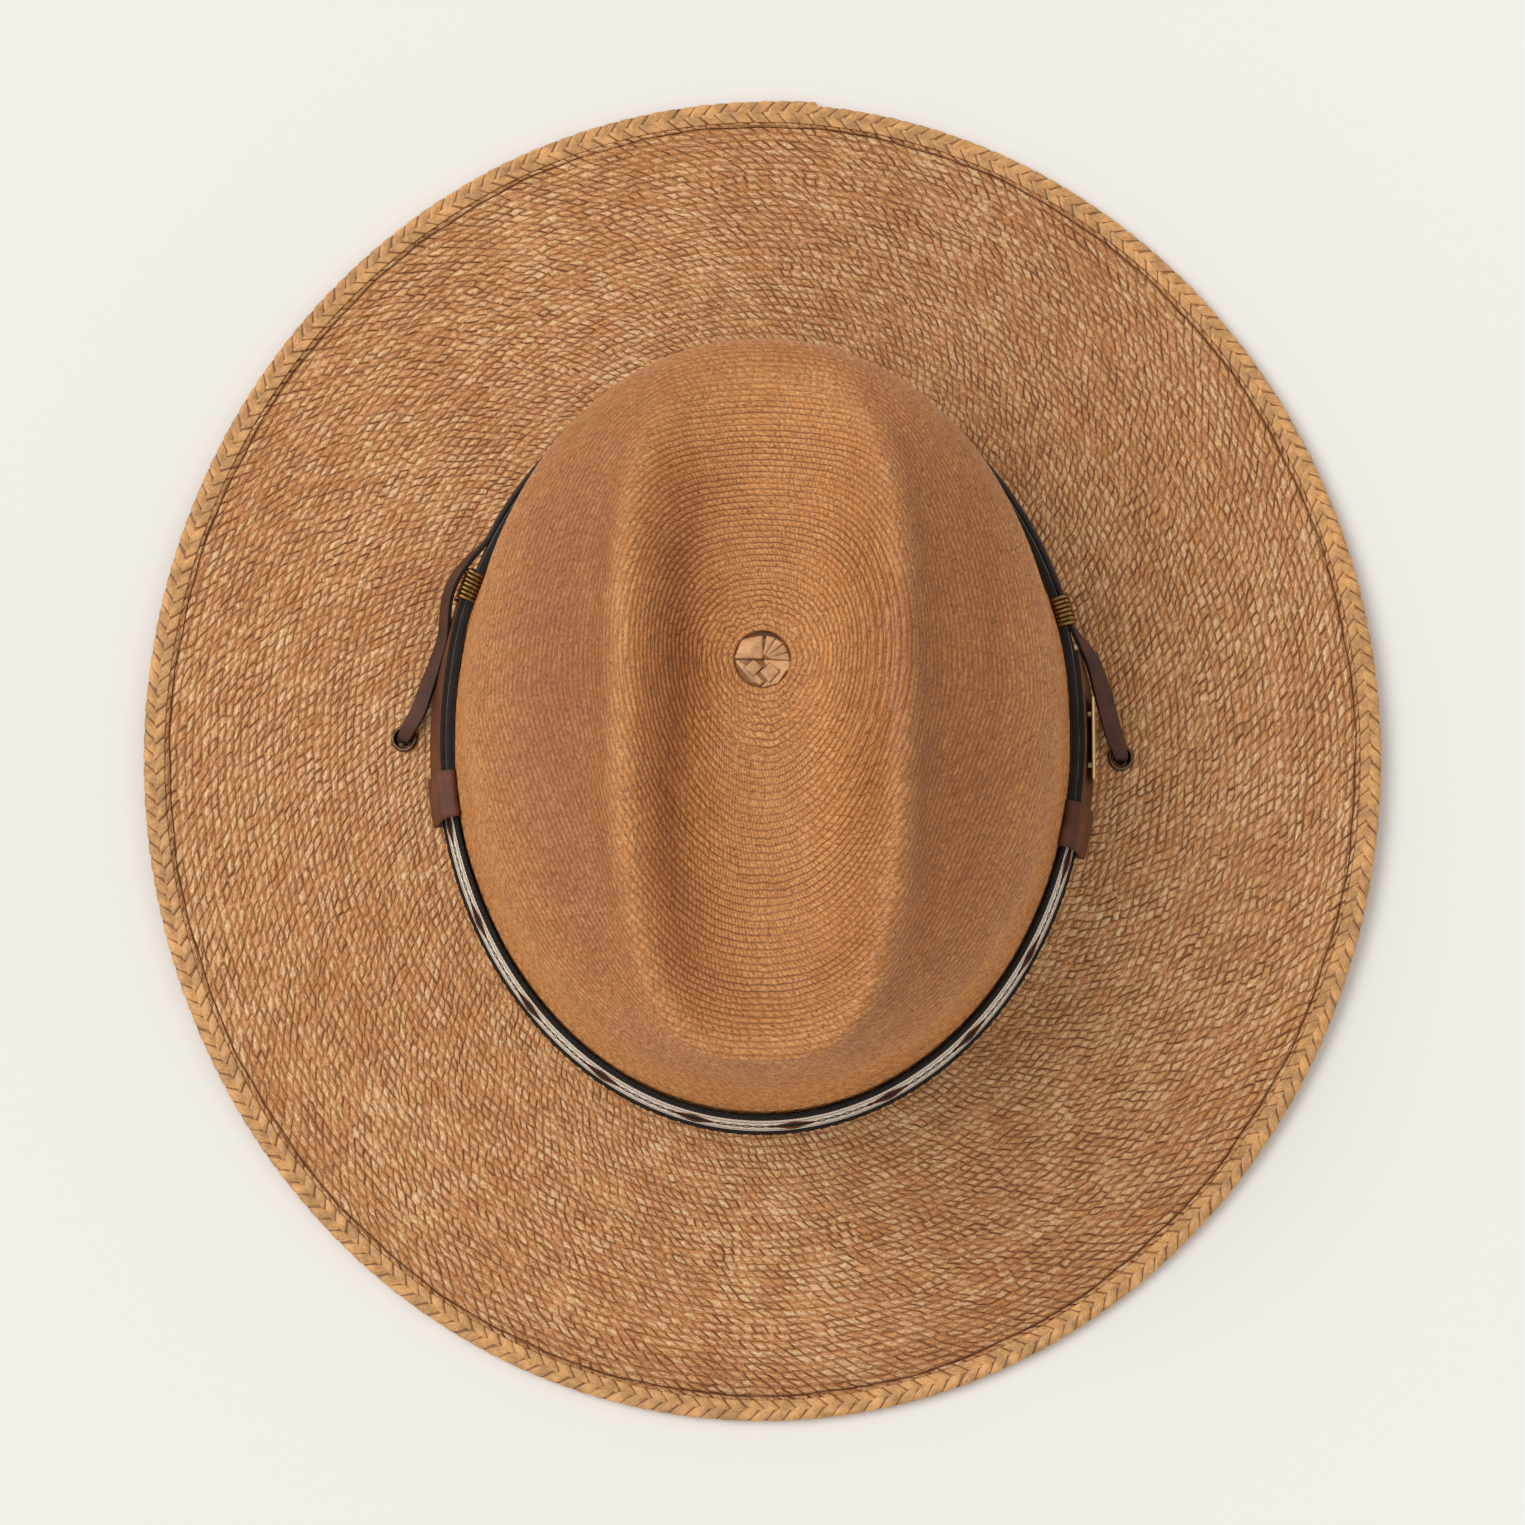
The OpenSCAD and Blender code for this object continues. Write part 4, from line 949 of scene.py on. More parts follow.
# strips fanning over the upper right
for k in range(4):
    a0, a1 = 82 - 21 * k, 82 - 21 * (k + 1) + 1.0
    knot_grids.append(knot_strip([
        (0.1 + 0.5 * k, 1.5 - 0.3 * k), (6.6 * cosd(a0), 6.0 * sind(a0)), (6.6 * cosd(a1), 6.0 * sind(a1)),
        (0.5 + 0.55 * k, 0.9 - 0.25 * k)], 0.8 - 0.05 * k, dome=0.35))
# a strip across the right
knot_grids.append(knot_strip([(0.2, 0.1), (6.9, -0.1), (6.5, -2.9), (1.2, -2.2)], 0.62, dome=0.3))
# narrow strips round the lower edges
for k in range(4):
    o = 0.8 * k
    knot_grids.append(knot_strip([
        (-6.9 + o, 0.1 - o), (-6.0 + o, 0.3 - o * 0.7), (-1.2 + o * 0.7, -4.7 - o * 0.35),
        (-2.2 + o * 0.7, -5.9 - o * 0.2)], 0.5 + 0.06 * k, dome=0.3))
for k in range(4):
    knot_grids.append(knot_strip([
        (-0.6 + k, -6.7 + 0.2 * k), (0.5 + k, -6.9 + 0.3 * k), (5.9 + 0.25 * k, -2.6 + 0.4 * k),
        (5.0 + 0.3 * k, -1.9 + 0.35 * k)], 0.55 + 0.05 * k, dome=0.3))
# square strips across the lower half, lying on the others
knot_grids.append(knot_strip([(-4.6, -1.9), (-2.3, 0.1), (0.0, -1.9), (-2.2, -4.2)], 1.0, dome=0.45))
knot_grids.append(knot_strip([(-0.7, -2.9), (1.7, -0.6), (4.2, -3.0), (1.7, -5.7)], 1.1, dome=0.55))
knot_centre = np.array([0, START_Y - 0.25, FOOT_Z + CREASE_H - 0.25])
sheet_solid([g * [1.07, 1.07, 1] + knot_centre for g in knot_grids], 0.35, "start_knot", knot_palm,
            node="weave_start_knot")
disc_a = np.arange(48) * 7.5
disc = [np.stack([r * cosd(disc_a), START_Y + r * sind(disc_a), np.full(48, FOOT_Z + CREASE_H + z)], -1)
        for r, z in ((0.4, 0.2), (4, 0.15), (7.9, 0.05), (7.9, -0.7), (0.4, -0.7))]
loft("start_knot_base", np.array(disc)[:, ::-1], "palm_strip", wrap=True, material=knot_dark)
# the open gap along the knot's upper edge, a dark sheet as the painted shadow in it
gap_a = np.linspace(38, 122, 25)
gap_wide = 0.75 * np.sin(np.linspace(0, np.pi, 25)) ** 0.8 + 0.04
gap_strip = np.stack([np.stack([(6.55 + w) * cosd(gap_a), START_Y + (6.35 + w) * sind(gap_a),
                                np.full(25, FOOT_Z + CREASE_H + 0.42)], -1)
                      for w in (-gap_wide, 0 * gap_wide, gap_wide)], 1)
sheet_solid([gap_strip[::-1]], 0.3, "start_knot_gap", gap_shadow)

# ---- the plaited edge ----

LOW = -WEAVE_T - GAP
IN_R = FOLD_OUT - 5.8
fold_profile = [
    (IN_R, LOW - 0.55), (0, LOW - 0.55), (1.8, LOW - 0.55), (2.25, LOW - 0.2), (2.3, -0.75), (2.25, 0.1),
    (1.8, 0.62), (0, 0.62), (IN_R, 0.62), (IN_R, 0.1), (0, 0.1), (1.7, 0.1), (1.7, LOW), (0, LOW), (IN_R, LOW)
]
fold_a = np.arange(360)
fold_rings = np.stack([edge_at(fold_a, r, up) for r, up in fold_profile], 1)
loft("edge_fold", fold_rings, "palm_braid", wrap=True, material=knot_dark, node="edge_braid")

# the way over the rim, from the middle of its side up and inwards: distance, then r and up
over_s = np.array([0.0, 0.5, 1.0, 1.6, 2.4, 4.0, 6.6])
over_r = np.array([2.45, 2.5, 2.35, 1.85, 1.05, -0.55, -3.15])
over_up = np.array([-0.8, -0.3, 0.2, 0.55, 0.66, 0.66, 0.6])
edge_loop = edge_at(np.arange(0, 360, 0.25), 0.0, 0.0)
edge_steps = np.linalg.norm(np.diff(np.vstack([edge_loop, edge_loop[:1]]), axis=0), axis=1)
edge_run = np.concatenate([[0], np.cumsum(edge_steps)])
EDGE_LENGTH = edge_run[-1]
STEP_A = 85.0  # degrees; here the plait's end lies over its start


def petal(t0, s0, s1, lean, pitch, under, lump, wide=0.99):
    """One strip of the plait: from s0 to s1 over the rim, lean is how far it runs on along the edge."""
    n, m = 8, 6
    q = np.linspace(0, 1, n)[:, None]
    x = np.linspace(-1, 1, m)[None, :]
    s = s0 + (s1 - s0) * q + 0 * x
    tip = 1 - 0.3 * q ** 6 - 0.1 * (1 - q) ** 6
    t = t0 + lean * q + x * pitch / 2 * wide * tip
    dome = 0.45 * np.maximum(0, 1 - x ** 2) ** 0.6 + 0.42 * (1 + x) * (1 - np.abs(x) ** 9)
    rise = lump * dome * (0.35 + 0.65 * np.sin(np.pi * np.clip(q * 0.92 + 0.04, 0, 1)) ** 0.6)
    a = np.interp(t % EDGE_LENGTH, edge_run, np.linspace(0, 360, len(edge_run)))
    r = np.interp(s, over_s, over_r)
    up = np.interp(s, over_s, over_up)
    side = np.clip((r - 1.6) / 0.8, 0, 1)
    r = r + rise * side * 0.7
    past = (a - STEP_A) % 360
    r = r + 1.1 * np.exp(-past / 8.0) * np.clip((r + 3.2) / 5.6, 0, 1)
    up = up + rise * (1 - side * 0.6)
    if under:
        up = LOW - up + 0.1
    return edge_at(a, r, up)


petals = []
PETALS = 250
pitch = EDGE_LENGTH / PETALS
jitter = np.random.default_rng(31).uniform(-1, 1, (PETALS, 6))
for k in range(PETALS):
    j = jitter[k]
    t0 = k * pitch
    petals.append(petal(t0 + j[0] * 0.25, 0.0, 4.15 + 0.2 * j[1], 3.9, pitch, False, 0.42 + 0.1 * j[2]))
    petals.append(petal(t0 + pitch * 0.55 + j[3] * 0.25, 6.55, 3.7 + 0.2 * j[4], 2.7, pitch, False,
                        0.36 + 0.1 * j[5]))
    petals.append(petal(t0 + j[1] * 0.25, 0.0, 4.1, 3.9, pitch, True, 0.34)[:, ::-1])
    petals.append(petal(t0 + pitch * 0.55, 6.5, 3.7, 2.7, pitch, True, 0.3)[:, ::-1])


def petal_piece(name, grids):
    """Open curved strips joined in one piece."""
    g = np.array(grids)
    count, n, m = g.shape[:3]
    i, j = np.meshgrid(np.arange(n - 1), np.arange(m - 1), indexing="ij")
    quad = np.stack([i * m + j, (i + 1) * m + j, (i + 1) * m + j + 1, i * m + j + 1], -1).reshape(-1, 4)
    faces = (quad[None] + (np.arange(count) * n * m)[:, None, None]).reshape(-1, 4)
    x0, x1, y0, y1 = j / (m - 1), (j + 1) / (m - 1), i * 0.8, (i + 1) * 0.8
    corner = corner_uv((x0, y0), (x0, y1), (x1, y1), (x1, y0))
    uv = (corner[None] + np.stack([np.zeros(count), np.arange(count) * 7.3], -1)[:, None, :]).reshape(-1, 2)
    build(name, g.reshape(-1, 3), faces.tolist(), "palm_braid", material=petal_palm, uvs={"piece": uv},
          node="edge_braid")


petal_piece("edge_plait", petals)


def stitch_piece(name, node, slot, material, tubes):
    """Many short closed threads in one piece: tubes is threads x rings x sides x 3."""
    tubes = np.array(tubes)
    count, n, m = tubes.shape[:3]
    faces = []
    for base in range(0, count * n * m, n * m):
        for k in range(base, base + (n - 1) * m, m):
            faces += [[k + j, k + (j + 1) % m, k + m + (j + 1) % m, k + m + j] for j in range(m)]
        faces.append([base + j for j in range(m - 1, -1, -1)])
        faces.append([base + (n - 1) * m + j for j in range(m)])
    build(name, tubes.reshape(-1, 3), faces, slot, material=material, node=node)


# the seam thread, 7 mm inside the rim
SEAM = 170
span = 360 / SEAM
threads = []
for k in range(SEAM):
    a = k * span + np.linspace(-0.02, 1.02, 7) * span
    wander = 0.12 * np.sin(np.radians(a * 23)) + 0.08 * np.sin(np.radians(a * 61))
    sink = 0.35 * np.abs(np.linspace(-1, 1, 7)) ** 4
    threads.append(tube_rings(edge_at(a, FOLD_OUT - 7.1 + wander * 1.6, 0.16 - sink * 0.4 + 0.2), 0.13, 6))
stitch_piece("edge_seam", "edge_stitching", "dark_thread", seam_thread, threads)

# ---- the band ----


def wall_layer(name, slot, node, stations, halves, off, t, mats, material, bevel):
    """A layer round the wall, t thick; halves is half its height at each station."""
    rings = []
    for a, half in zip(stations, halves):
        lo, hi = BAND_MID - half, BAND_MID + half
        prof = [(off, lo + bevel), (off + bevel * 0.4, lo), (off + t - bevel, lo), (off + t, lo + bevel)]
        prof += [(off + t, lerp(lo, hi, u)) for u in (0.2, 0.4, 0.6, 0.8)]
        prof += [(off + t, hi - bevel), (off + t - bevel, hi), (off + bevel, hi), (off, hi - bevel)]
        prof += [(off, lerp(lo, hi, u)) for u in (0.75, 0.5, 0.25)]
        rings.append([wall_at(a, h, o) for o, h in prof])
    loft(name, rings, slot, ring_mats=mats, material=material, node=node)


def past_coil(a):
    return np.maximum(a - COIL_LEFT, COIL_RIGHT - a) - COIL_HALF


def strap_high(a):
    d = past_coil(a)
    return np.where(d > 0, lerp(TONGUE_H, BAND_H, ease((d - 1) / 12)),
                    lerp(TONGUE_H, BACK_STRAP_H, ease((-d - 2 * COIL_HALF - 1) / 6)))


JOIN = 0.3  # the strap and the ribbon stop this many degrees before the middle of a keeper
# the material of each side of a layer: lower edge, outer face, upper edge, inner face; 2 is a painted
# highlight, a grey line on the upper edge's bevels
EDGE_PAINT_AND_HIGHLIGHT = [1, 1, 1, 0, 0, 0, 0, 0, 2, 1, 2, 1, 1, 1, 1]
strap_a = np.arange(KEEPER_RIGHT + JOIN, KEEPER_LEFT - JOIN + 0.01, 0.75)
half = strap_high(strap_a) / 2
wall_layer("strap_layer", "strap_leather", "band_strap", strap_a, half, 0.45, STRAP_IN + STRAP_T - 0.45,
           EDGE_PAINT_AND_HIGHLIGHT, [strap_black, strap_black, edge_highlight_grey], 0.22)
for name, node, a0, a1 in (
        ("facing_left", "strap_facing_left", COIL_LEFT - COIL_HALF - 0.5, KEEPER_LEFT - JOIN),
        ("facing_right", "strap_facing_right", KEEPER_RIGHT + JOIN, COIL_RIGHT - COIL_HALF - 4)):
    fa = np.linspace(a0, a1, int((a1 - a0) / 0.75) + 1)
    half = strap_high(fa) / 2
    if node == "strap_facing_right":
        half = half * np.sqrt(np.clip(1 - np.clip((fa - a1 + 1.6) / 1.7, 0, 1) ** 2, 0.03, 1))
    # the 2 below is the painted highlight line on the facing's upper edge
    wall_layer(name, "facing_leather", node, fa, half, FACING_IN, FACING_T,
               [1, 1, 1, 0, 0, 0, 0, 0, 0, 1, 2, 1, 1, 1, 1], [facing_brown, strap_black, edge_highlight_grey], 0.25)


def keeper_piece(name, node, middle):
    """A loop of leather round the band, with rounded corners."""
    low, high = BAND_LOW - GAP, BAND_LOW + BAND_H + GAP
    inner = [(1.25, low), (KEEPER_OUT - 0.9, low), (KEEPER_OUT - 0.2, low + 0.25), (KEEPER_OUT, low + 1.0),
             (KEEPER_OUT, BAND_MID), (KEEPER_OUT, high - 1.0), (KEEPER_OUT - 0.2, high - 0.25),
             (KEEPER_OUT - 0.9, high), (1.25, high), (1.25, BAND_MID)]
    t = KEEPER_T
    outer = [(0.45, low - t + 0.25), (KEEPER_OUT - 0.8, low - t), (KEEPER_OUT + t * 0.5, low - t * 0.55),
             (KEEPER_OUT + t, low + 0.6), (KEEPER_OUT + t + 0.05, BAND_MID), (KEEPER_OUT + t, high - 0.6),
             (KEEPER_OUT + t * 0.5, high + t * 0.55), (KEEPER_OUT - 0.8, high + t), (0.45, high + t - 0.25),
             (0.45, BAND_MID)]
    inner, outer = (catmull(np.vstack([p, p[:1]]), 4)[:-1] for p in (np.array(inner), np.array(outer)))
    rings = []
    n = 15
    for near_side, far_side, way in ((outer, inner, 1), (inner, outer, -1)):
        for k in range(n):
            u = way * (2 * k / (n - 1) - 1)
            rounding = 0.18 * max(0.0, abs(u) - 0.93) / 0.07
            section = lerp(near_side, far_side, rounding)
            rings.append([wall_at(middle + KEEPER_HALF * u, h, o) for o, h in section])
    loft(name, rings, "keeper_leather", wrap=True, material=keeper_brown, node=node)


keeper_piece("keeper_loop_left", "keeper_left", KEEPER_LEFT)
keeper_piece("keeper_loop_right", "keeper_right", KEEPER_RIGHT)


def ribbon_material():
    """Patterned ribbon: in the UV map "face" u runs along it, in millimetres, and v is the share of its
    height."""
    s = Shader("woven_ribbon", roughness=0.75, specular=0.2)
    x, h = s.uv("face")
    place = s.place()
    threads = s.math("SINE", s.mul(x, 2 * math.pi / 0.55))
    picks = s.math("SINE", s.mul(h, 2 * math.pi / 0.5))
    weave = s.mul(threads, picks)
    fuzz = s.noise(place, 2200.0, 2.0)
    white = s.mix(s.step_up(fuzz, 0.3, 0.7), (0.80, 0.66, 0.52), (1.0, 0.92, 0.80))
    black = s.mix(s.step_up(fuzz, 0.35, 0.75), (0.006, 0.006, 0.006), (0.03, 0.028, 0.026))
    red = s.mix(s.step_up(fuzz, 0.3, 0.7), (0.09, 0.022, 0.012), (0.22, 0.06, 0.03))
    period = 27.0
    turn = s.fract(s.math("DIVIDE", x, period))
    # lens dashes in the middle: 13 mm of red and black, then white crossed by thin black zigzags
    from_mid = s.math("ABSOLUTE", s.sub(h, 0.44))
    lens = s.sub(1.0, s.math("ABSOLUTE", s.mul(s.sub(turn, 0.25), 4.0)))
    lens = s.math("MAXIMUM", lens, 0.0)
    in_lens = s.step_up(s.sub(s.mul(lens, 0.2), from_mid), -0.012, 0.012)
    core = s.step_up(s.sub(s.mul(lens, 0.09), from_mid), -0.012, 0.012)
    zig = s.math("ABSOLUTE", s.sub(s.math("PINGPONG", s.add(x, 3.4), 6.8), 3.4))
    zig_h = s.mad(zig, 0.032, 0.385)
    thin = s.math("MAXIMUM", s.near(h, zig_h, 0.03, 0.018), s.near(h, s.sub(0.88, zig_h), 0.03, 0.018))
    color = s.mix(thin, white, black)
    color = s.mix(in_lens, color, red)
    color = s.mix(core, color, black)
    for at in (0.27, 0.635):
        color = s.mix(s.mul(s.near(h, at, 0.025, 0.012), 0.7), color, black)
    dash = s.step_up(s.math("SINE", s.mul(x, 2 * math.pi / 1.4)), 0.5, 0.9)
    color = s.mix(s.mul(s.mul(dash, s.near(h, 0.70, 0.03, 0.015)), 0.3), color, black)
    color = s.mix(s.step_up(h, 0.775, 0.79), color, black)
    color = s.mix(s.step_up(h, 0.235, 0.22), color, black)
    return s.done(color, None, s.bump(s.mad(fuzz, 0.6, weave), 0.00014, 0.7))


def ribbon_piece():
    a0, a1 = KEEPER_LEFT + JOIN, 360 + KEEPER_RIGHT - JOIN
    n = 721
    stations = np.linspace(a0, a1, n)
    mid = wall_at(stations, BAND_MID, 2.0)
    run = np.concatenate([[0], np.cumsum(np.linalg.norm(np.diff(mid, axis=0), axis=1))])
    scallop = 0.7 * np.abs(np.sin(math.pi * run / 3.7)) ** 0.7
    nub = 0.16 * np.abs(np.sin(math.pi * run / 1.1))
    lo, hi = BAND_LOW - 0.2, BAND_LOW + BAND_H - 1.2
    rings = []
    prof_h = [0.0, 0.03, 0.1, 0.17, 0.22, 0.29, 0.37, 0.45, 0.54, 0.65, 0.78, 0.83, 0.9, 0.975, 1.0]
    prof_o = [1.3, 2.6, 2.85, 2.8, 2.65, 2.55, 2.45, 2.35, 2.2, 2.1, 2.0, 2.05, 2.05, 1.9, 1.4]
    for k, a in enumerate(stations):
        ring = []
        for h, o in zip(prof_h, prof_o):
            edge = scallop[k] if h < 0.15 else 0
            puff = nub[k] if h > 0.82 or h < 0.2 else 0
            ring.append(wall_at(a, lerp(lo, hi, h) - edge, o + puff))
        ring += [wall_at(a, lerp(lo, hi, h), 1.0) for h in (0.99, 0.75, 0.5, 0.25, 0.02)]
        rings.append(ring)
    heights = np.array(prof_h + [1.0, 1.0, 1.0, 1.0, 1.0])
    obj = loft("ribbon_weave", rings, "woven_ribbon", material=ribbon_material(), lengths=run)
    mesh = obj.data
    m = len(heights)
    layer = mesh.uv_layers.new(name="face")
    index = np.empty(len(mesh.loops), np.int32)
    mesh.loops.foreach_get("vertex_index", index)
    layer.data.foreach_set("uv", np.stack([run[index // m], heights[index % m]], -1).astype(np.float32).ravel())
    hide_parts("band_ribbon")


ribbon_piece()

# ---- the brass coils ----


def coil_piece(name, node, middle, bundle):
    half_off = bundle / 2
    reach = [half_off + COIL_ROOM + COIL_WIRE / 2, TONGUE_H / 2 + COIL_ROOM + COIL_WIRE / 2]
    steps = 28
    n = 7 * steps
    i = np.arange(n + 1)
    turn = 360 * i / steps
    path = wall_at(middle + COIL_HALF * (2 * i / n - 1), BAND_MID + reach[1] * signed_pow(sind(turn), 0.45),
                   STRAP_IN + half_off + reach[0] * signed_pow(cosd(turn), 0.45))
    ends = np.minimum(i, n - i)
    rings = tube_rings(path, 0.52 - 0.2 * (ends < 1), 10)
    loft(name, rings, "coil_brass", material=coil_brass, node=node)


coil_piece("coil_turns_left", "coil_left", COIL_LEFT, STRAP_T + GAP + FACING_T)
coil_piece("coil_turns_right", "coil_right", COIL_RIGHT, STRAP_T + GAP + LACE_T)


def tipped(x, y, z, slope):
    """A point turned about Y by slope, in radians."""
    return [x * math.cos(slope) + z * math.sin(slope), y, z * math.cos(slope) - x * math.sin(slope)]


# ---- the badge: a bare brushed plate with rounded corners ----


def badge_piece():
    length, height, t, corner, bevel = 23.0, 11.0, 0.8, 1.6, 0.25
    off = FACING_IN + FACING_T + 0.7
    lean = math.radians(5)
    base = wall_at(0, BAND_MID, 0)
    outline = []
    for cy, cz, a0 in ((1, 1, 0), (-1, 1, 90), (-1, -1, 180), (1, -1, 270)):
        for k in range(7):
            a = a0 + 15 * k
            outline.append((cy * (length / 2 - corner), cz * (height / 2 - corner), cosd(a), sind(a)))
    rings = []
    for depth, grow in ((0, -bevel), (bevel, 0), (t - bevel, 0), (t, -bevel), (t, -3.0), (t, -5.0)):
        ring = []
        for y, z, dy, dz in outline:
            shrink = max(0.0, -grow - corner)
            yy = (abs(y) - shrink) * np.sign(y) + (corner + max(grow, -corner)) * dy
            zz = (max(abs(z) - shrink, 0.15)) * np.sign(z) + (corner + max(grow, -corner)) * dz
            ring.append(base + tipped(off + depth, yy, zz, -lean))
        rings.append(ring)
    loft("badge_blank", np.array(rings), "badge_brass", material=badge_brass, node="badge_plate")


badge_piece()

# ---- the eyelets: turned rings with a rolled lip ----


def eyelet_piece(name, node, side):
    hole, outer = EYELET_HOLE / 2, EYELET_D / 2
    prof = [(hole, -1.0), (hole, 0.1)]
    for k in range(9):
        a = 180 - 180 * k / 8
        prof.append(((hole + outer) / 2 + (outer - hole) / 2 * cosd(a), 0.15 + 1.0 * sind(a)))
    prof += [(outer - 0.15, 0.02), (hole + 0.5, 0.02), (hole + 0.5, -2.35), (hole + 1.15, -2.5),
             (hole + 1.15, -2.8), (hole + 0.4, -2.95), (hole, -2.7)]
    slope = math.radians(eyelet_slope(side))
    centre = on_eyelet(side, 0)
    rings = [[centre + tipped(r * cosd(a), r * sind(a), z, slope) for r, z in prof]
             for a in np.arange(0.0, 360, 5)]
    loft(name, np.array(rings)[:, ::-1], "bronze", wrap=True, material=bronze, node=node)


eyelet_piece("eyelet_ring_left", "eyelet_left", 0)
eyelet_piece("eyelet_ring_right", "eyelet_right", 1)

# ---- the lace from eyelet to eyelet round the back ----

left_bundle = STRAP_T + GAP + FACING_T
lace_off = FACING_IN + LACE_T / 2
COIL_TURN = 125
coil_tip = math.radians(COIL_TURN - 90)
left_off = (STRAP_IN + left_bundle + COIL_ROOM + COIL_WIRE + GAP + LACE_W / 2 * math.sin(coil_tip)
            + LACE_T / 2 * math.cos(coil_tip))
left_rise = 1.5


def over_coil(a):
    return ease((a - 149.5) / 5.5)


def lace_back(a):
    return wall_at(a, BAND_MID + left_rise * over_coil(a), lerp(lace_off, left_off, over_coil(a)))


back_from, back_to = COIL_RIGHT - COIL_HALF, COIL_LEFT + COIL_HALF + 1
back_angles = np.linspace(back_from, back_to, math.ceil((back_to - back_from) / 3.75) + 1)
eye = [on_eyelet(0, 0), on_eyelet(1, 0)]
upper_points = np.vstack([
    [on_eyelet(1, -0.6), on_eyelet(1, 1.1), eye[1] + [-0.6, 2.2, 2.8], eye[1] + [-2.4, 7, 4.6],
     eye[1] + [-5.4, 17, 8.8], eye[1] + [-8.4, 25, 13]],
    [lace_back(a) for a in back_angles],
    [eye[0] + [11.2, 26.6, 12.2], eye[0] + [8.9, 19.5, 9.5], eye[0] + [6.5, 13.2, 7.3],
     eye[0] + [4.0, 6.8, 5.0], eye[0] + [1.3, 2.4, 3.3], on_eyelet(0, 1.1), on_eyelet(0, -0.6)]
])
upper_turn = np.concatenate([
    [180, 180, 178, 172, 164, 150], [lerp(90 + lean_at(a), COIL_TURN, over_coil(a)) for a in back_angles],
    [130, 142, 152, 163, 172, 180, 180]
])
upper_width = np.concatenate([
    [LACE_NARROW] * 2 + [LACE_W - 0.3, LACE_W + 0.4, LACE_W + 0.5, LACE_W - 0.1],
    [LACE_NARROW if a < COIL_RIGHT + COIL_HALF + 2 else LACE_W for a in back_angles],
    [LACE_W, LACE_W, LACE_W + 0.2, LACE_W, LACE_W - 0.4] + [LACE_NARROW] * 2
])
_, rings = lace_rings(upper_points, upper_width, upper_turn, per=6)
loft("lace_upper", rings, "lace_leather", ring_mats=LACE_SIDES, material=[lace_brown, lace_edge],
     node="chin_lace_upper")

# ---- the sweatband ----

SWEAT_OUT = -WEAVE_T - 0.45
SWEAT_T, SWEAT_LOW, SWEAT_H = 1.3, -1.0, 34.0
sweat_a = np.arange(0, 360, 1.5)
profile = [(SWEAT_OUT, SWEAT_LOW), (SWEAT_OUT, 8), (SWEAT_OUT, 20), (SWEAT_OUT, SWEAT_LOW + SWEAT_H - 0.2),
           (SWEAT_OUT - 0.4, SWEAT_LOW + SWEAT_H), (SWEAT_OUT - SWEAT_T + 0.2, SWEAT_LOW + SWEAT_H - 0.1),
           (SWEAT_OUT - SWEAT_T, 28), (SWEAT_OUT - SWEAT_T - 0.12, 20), (SWEAT_OUT - SWEAT_T - 0.1, 12),
           (SWEAT_OUT - SWEAT_T + 0.15, 3.2), (SWEAT_OUT - SWEAT_T, 1.5), (SWEAT_OUT - SWEAT_T, SWEAT_LOW)]
wave = 0.12 * np.sin(np.radians(sweat_a * 9)) + 0.08 * np.sin(np.radians(sweat_a * 17 + 40))
rings = [[wall_at(a, h, o + (w if h > 1.6 and o < SWEAT_OUT - 0.6 else 0)) for o, h in profile]
         for a, w in zip(sweat_a, wave)]
loft("sweatband_leather", rings, "sweat_leather", wrap=True, material=sweat_leather, node="sweatband")
reed_path = wall_at(sweat_a, SWEAT_LOW - GAP - 1.1, SWEAT_OUT - SWEAT_T / 2)
loft("sweatband_reed_cover", tube_rings(reed_path, 1.08, 12, closed=True), "reed_cover", wrap=True,
     material=reed_leather, node="sweatband_reed")
STITCHES = 180
threads = []
for k in range(STITCHES):
    a = (k + np.linspace(0.12, 0.78, 5)) * 360 / STITCHES
    sink = 0.28 * np.abs(np.linspace(-1, 1, 5)) ** 3
    threads.append(tube_rings(wall_at(a, 3.2, SWEAT_OUT - SWEAT_T + 0.03 + sink), 0.24, 6))
stitch_piece("sweatband_stitches", "sweatband_stitching", "pale_thread", pale_thread, threads)


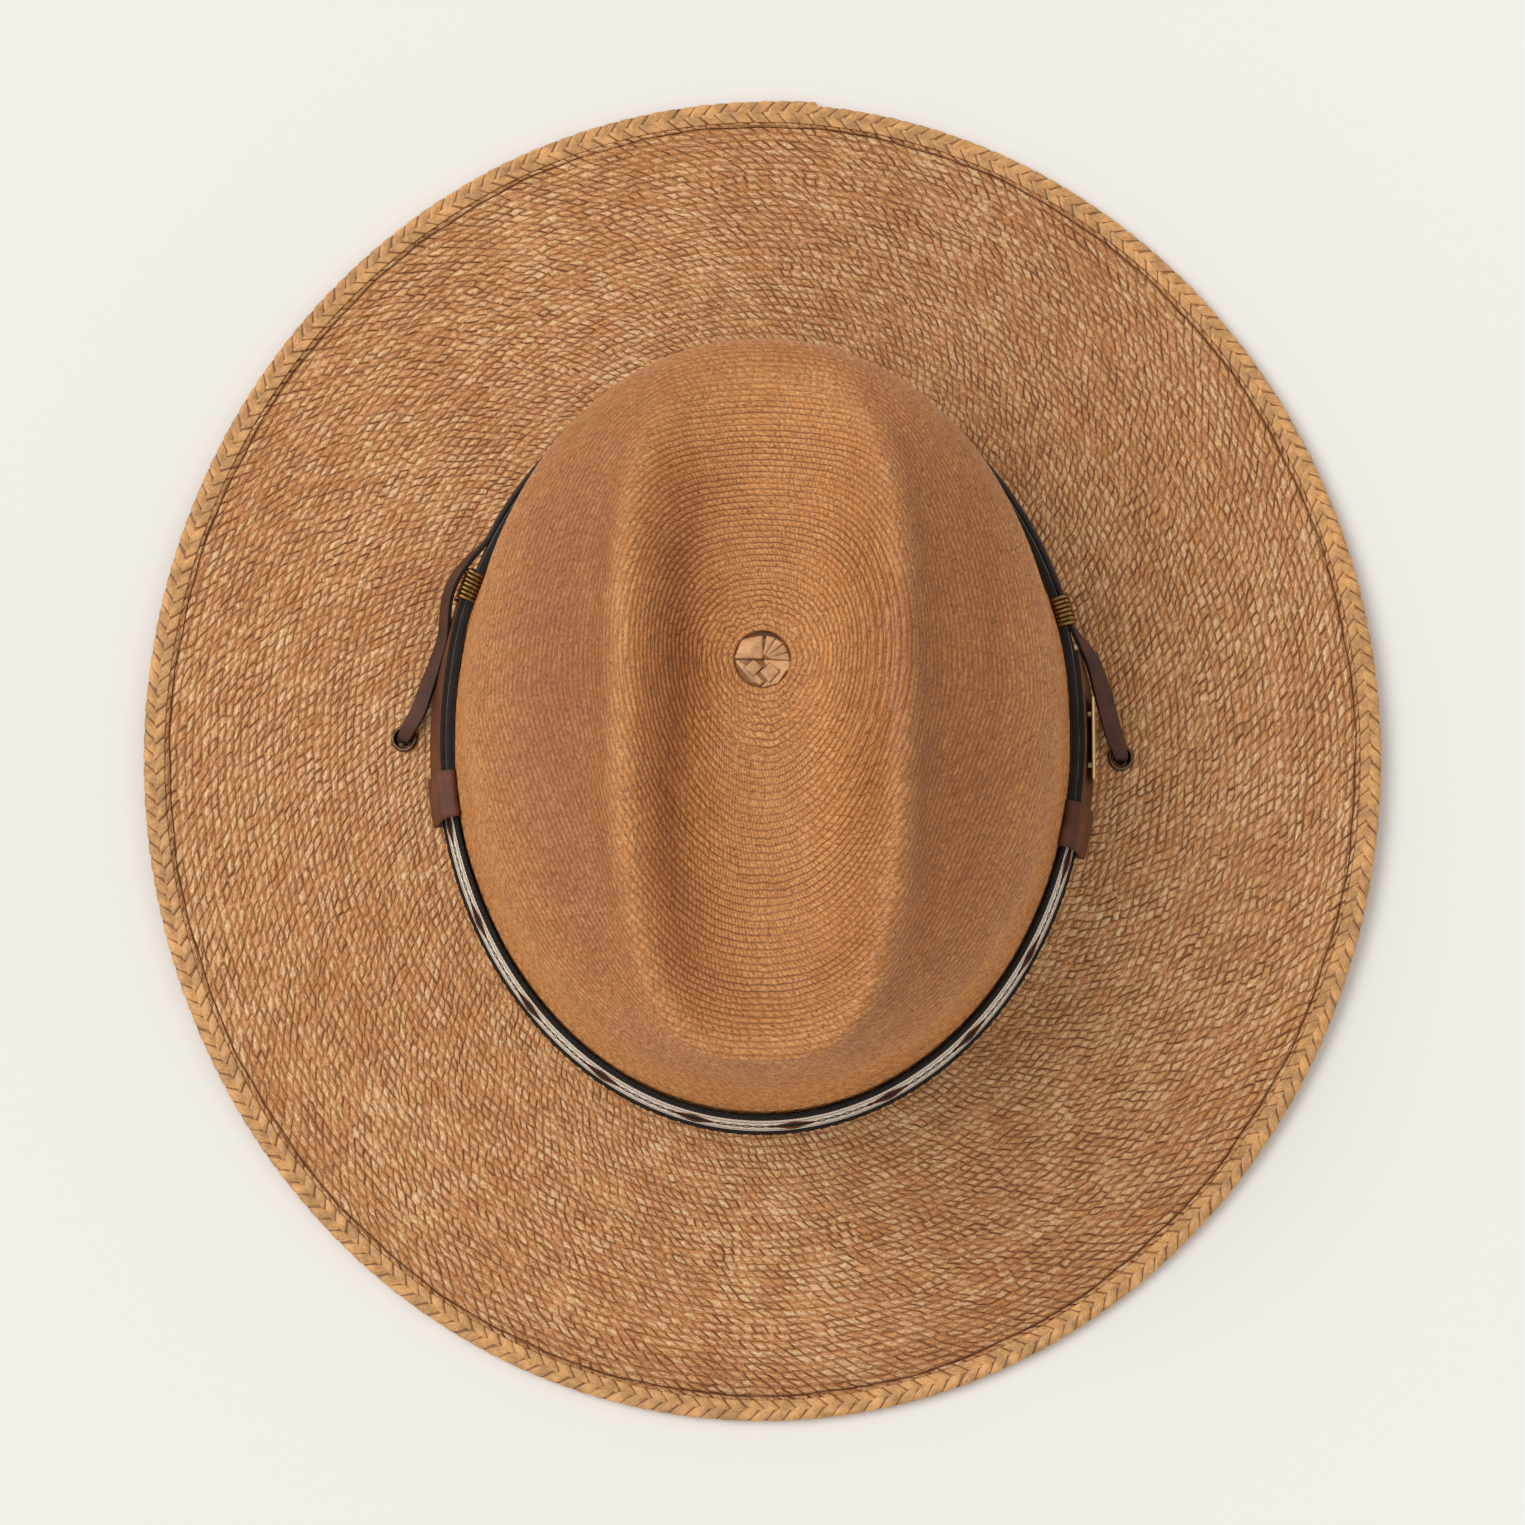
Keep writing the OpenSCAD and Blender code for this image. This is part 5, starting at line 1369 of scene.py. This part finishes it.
def bow_piece():
    """A flat ribbon bow over the sweatband's joint at the back."""
    face = wall_at(90, 12.0, SWEAT_OUT - SWEAT_T - GAP)[1]
    z0 = FOOT_Z + 12.0
    grids = []
    for side in (-1, 1):
        n, m = 29, 5
        g = np.empty((n, m, 3))
        for i in range(n):
            a = 2 * math.pi * i / (n - 1)
            x = side * (1.2 + 6.2 * (1 - math.cos(a)) / 2 * 2.0)
            z = 3.0 * math.sin(a) * (0.35 + 0.65 * (1 - math.cos(a)) / 2)
            for j in range(m):
                depth = 0.9 + 3.6 * j / (m - 1)
                g[i, j] = (min(abs(x), 12.8) * side, face - depth, z0 + z * (1 + 0.06 * math.sin(j)))
        grids.append(g)
    turns = [2 * math.pi * i / 20 for i in range(21)]
    grids.append(np.array([[(x, face - 2.6 - 2.2 * math.cos(a), z0 + 2.3 * math.sin(a))
                            for x in (-2.2, -1.1, 0, 1.1, 2.2)] for a in turns]))
    verts, faces = [], []
    for g in grids:
        n, m = g.shape[:2]
        corners = [len(verts) + i * m + j for i in range(n - 1) for j in range(m - 1)]
        faces += [[k, k + m, k + m + 1, k + 1] for k in corners]
        verts.extend(g.reshape(-1, 3))
    obj = build("sweatband_bow_ribbon", np.array(verts), faces, "bow_ribbon", material=bow_satin)
    thick = obj.modifiers.new("thick", "SOLIDIFY")
    thick.thickness = 0.0005
    thick.offset = 0
    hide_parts("sweatband_bow")


bow_piece()

# ---- CAD nodes that stay, with their materials ----

for node, material in (("edge_wire", steel), ("edge_wire_ferrule", steel), ("band_tacks", dark_thread),
                       ("badge_pins", badge_brass), ("eyelet_washer_left", bronze),
                       ("eyelet_washer_right", bronze)):
    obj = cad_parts[node]
    if not obj.material_slots:
        obj.data.materials.append(material)
    for held in obj.material_slots:
        held.material = material

# ---- floor and light ----

FLOOR, FLOOR_Z = 4.0, -0.0004
SUN_ENERGY, SUN_ANGLE, SUN_FROM = 1.30, 38, (-0.55, 0.18, 0.83)
SKY_COLOR, SKY_STRENGTH = (1.0, 0.99, 0.97, 1), 0.655

floor_mesh = bpy.data.meshes.new("floor")
floor_mesh.from_pydata([(x * FLOOR, y * FLOOR, FLOOR_Z) for x, y in ((-1, -1), (1, -1), (1, 1), (-1, 1))], [],
                       [(0, 1, 2, 3)])
floor = bpy.data.objects.new("floor", floor_mesh)
bpy.context.scene.collection.objects.link(floor)
paper = Shader("paper", roughness=0.9, color=(0.905, 0.885, 0.85), specular=0.1)
floor_mesh.materials.append(paper.mat)

bpy.context.scene.view_settings.view_transform = "Standard"
sun = bpy.data.objects.new("sun", bpy.data.lights.new("sun", "SUN"))
sun.data.energy = SUN_ENERGY
sun.data.angle = math.radians(SUN_ANGLE)
sun.rotation_mode = "QUATERNION"
sun.rotation_quaternion = Vector(SUN_FROM).to_track_quat("Z", "Y")
bpy.context.scene.collection.objects.link(sun)
world = bpy.data.worlds.new("studio")
bpy.context.scene.world = world
world.use_nodes = True
background = world.node_tree.nodes["Background"]
background.inputs[0].default_value = SKY_COLOR
background.inputs[1].default_value = SKY_STRENGTH
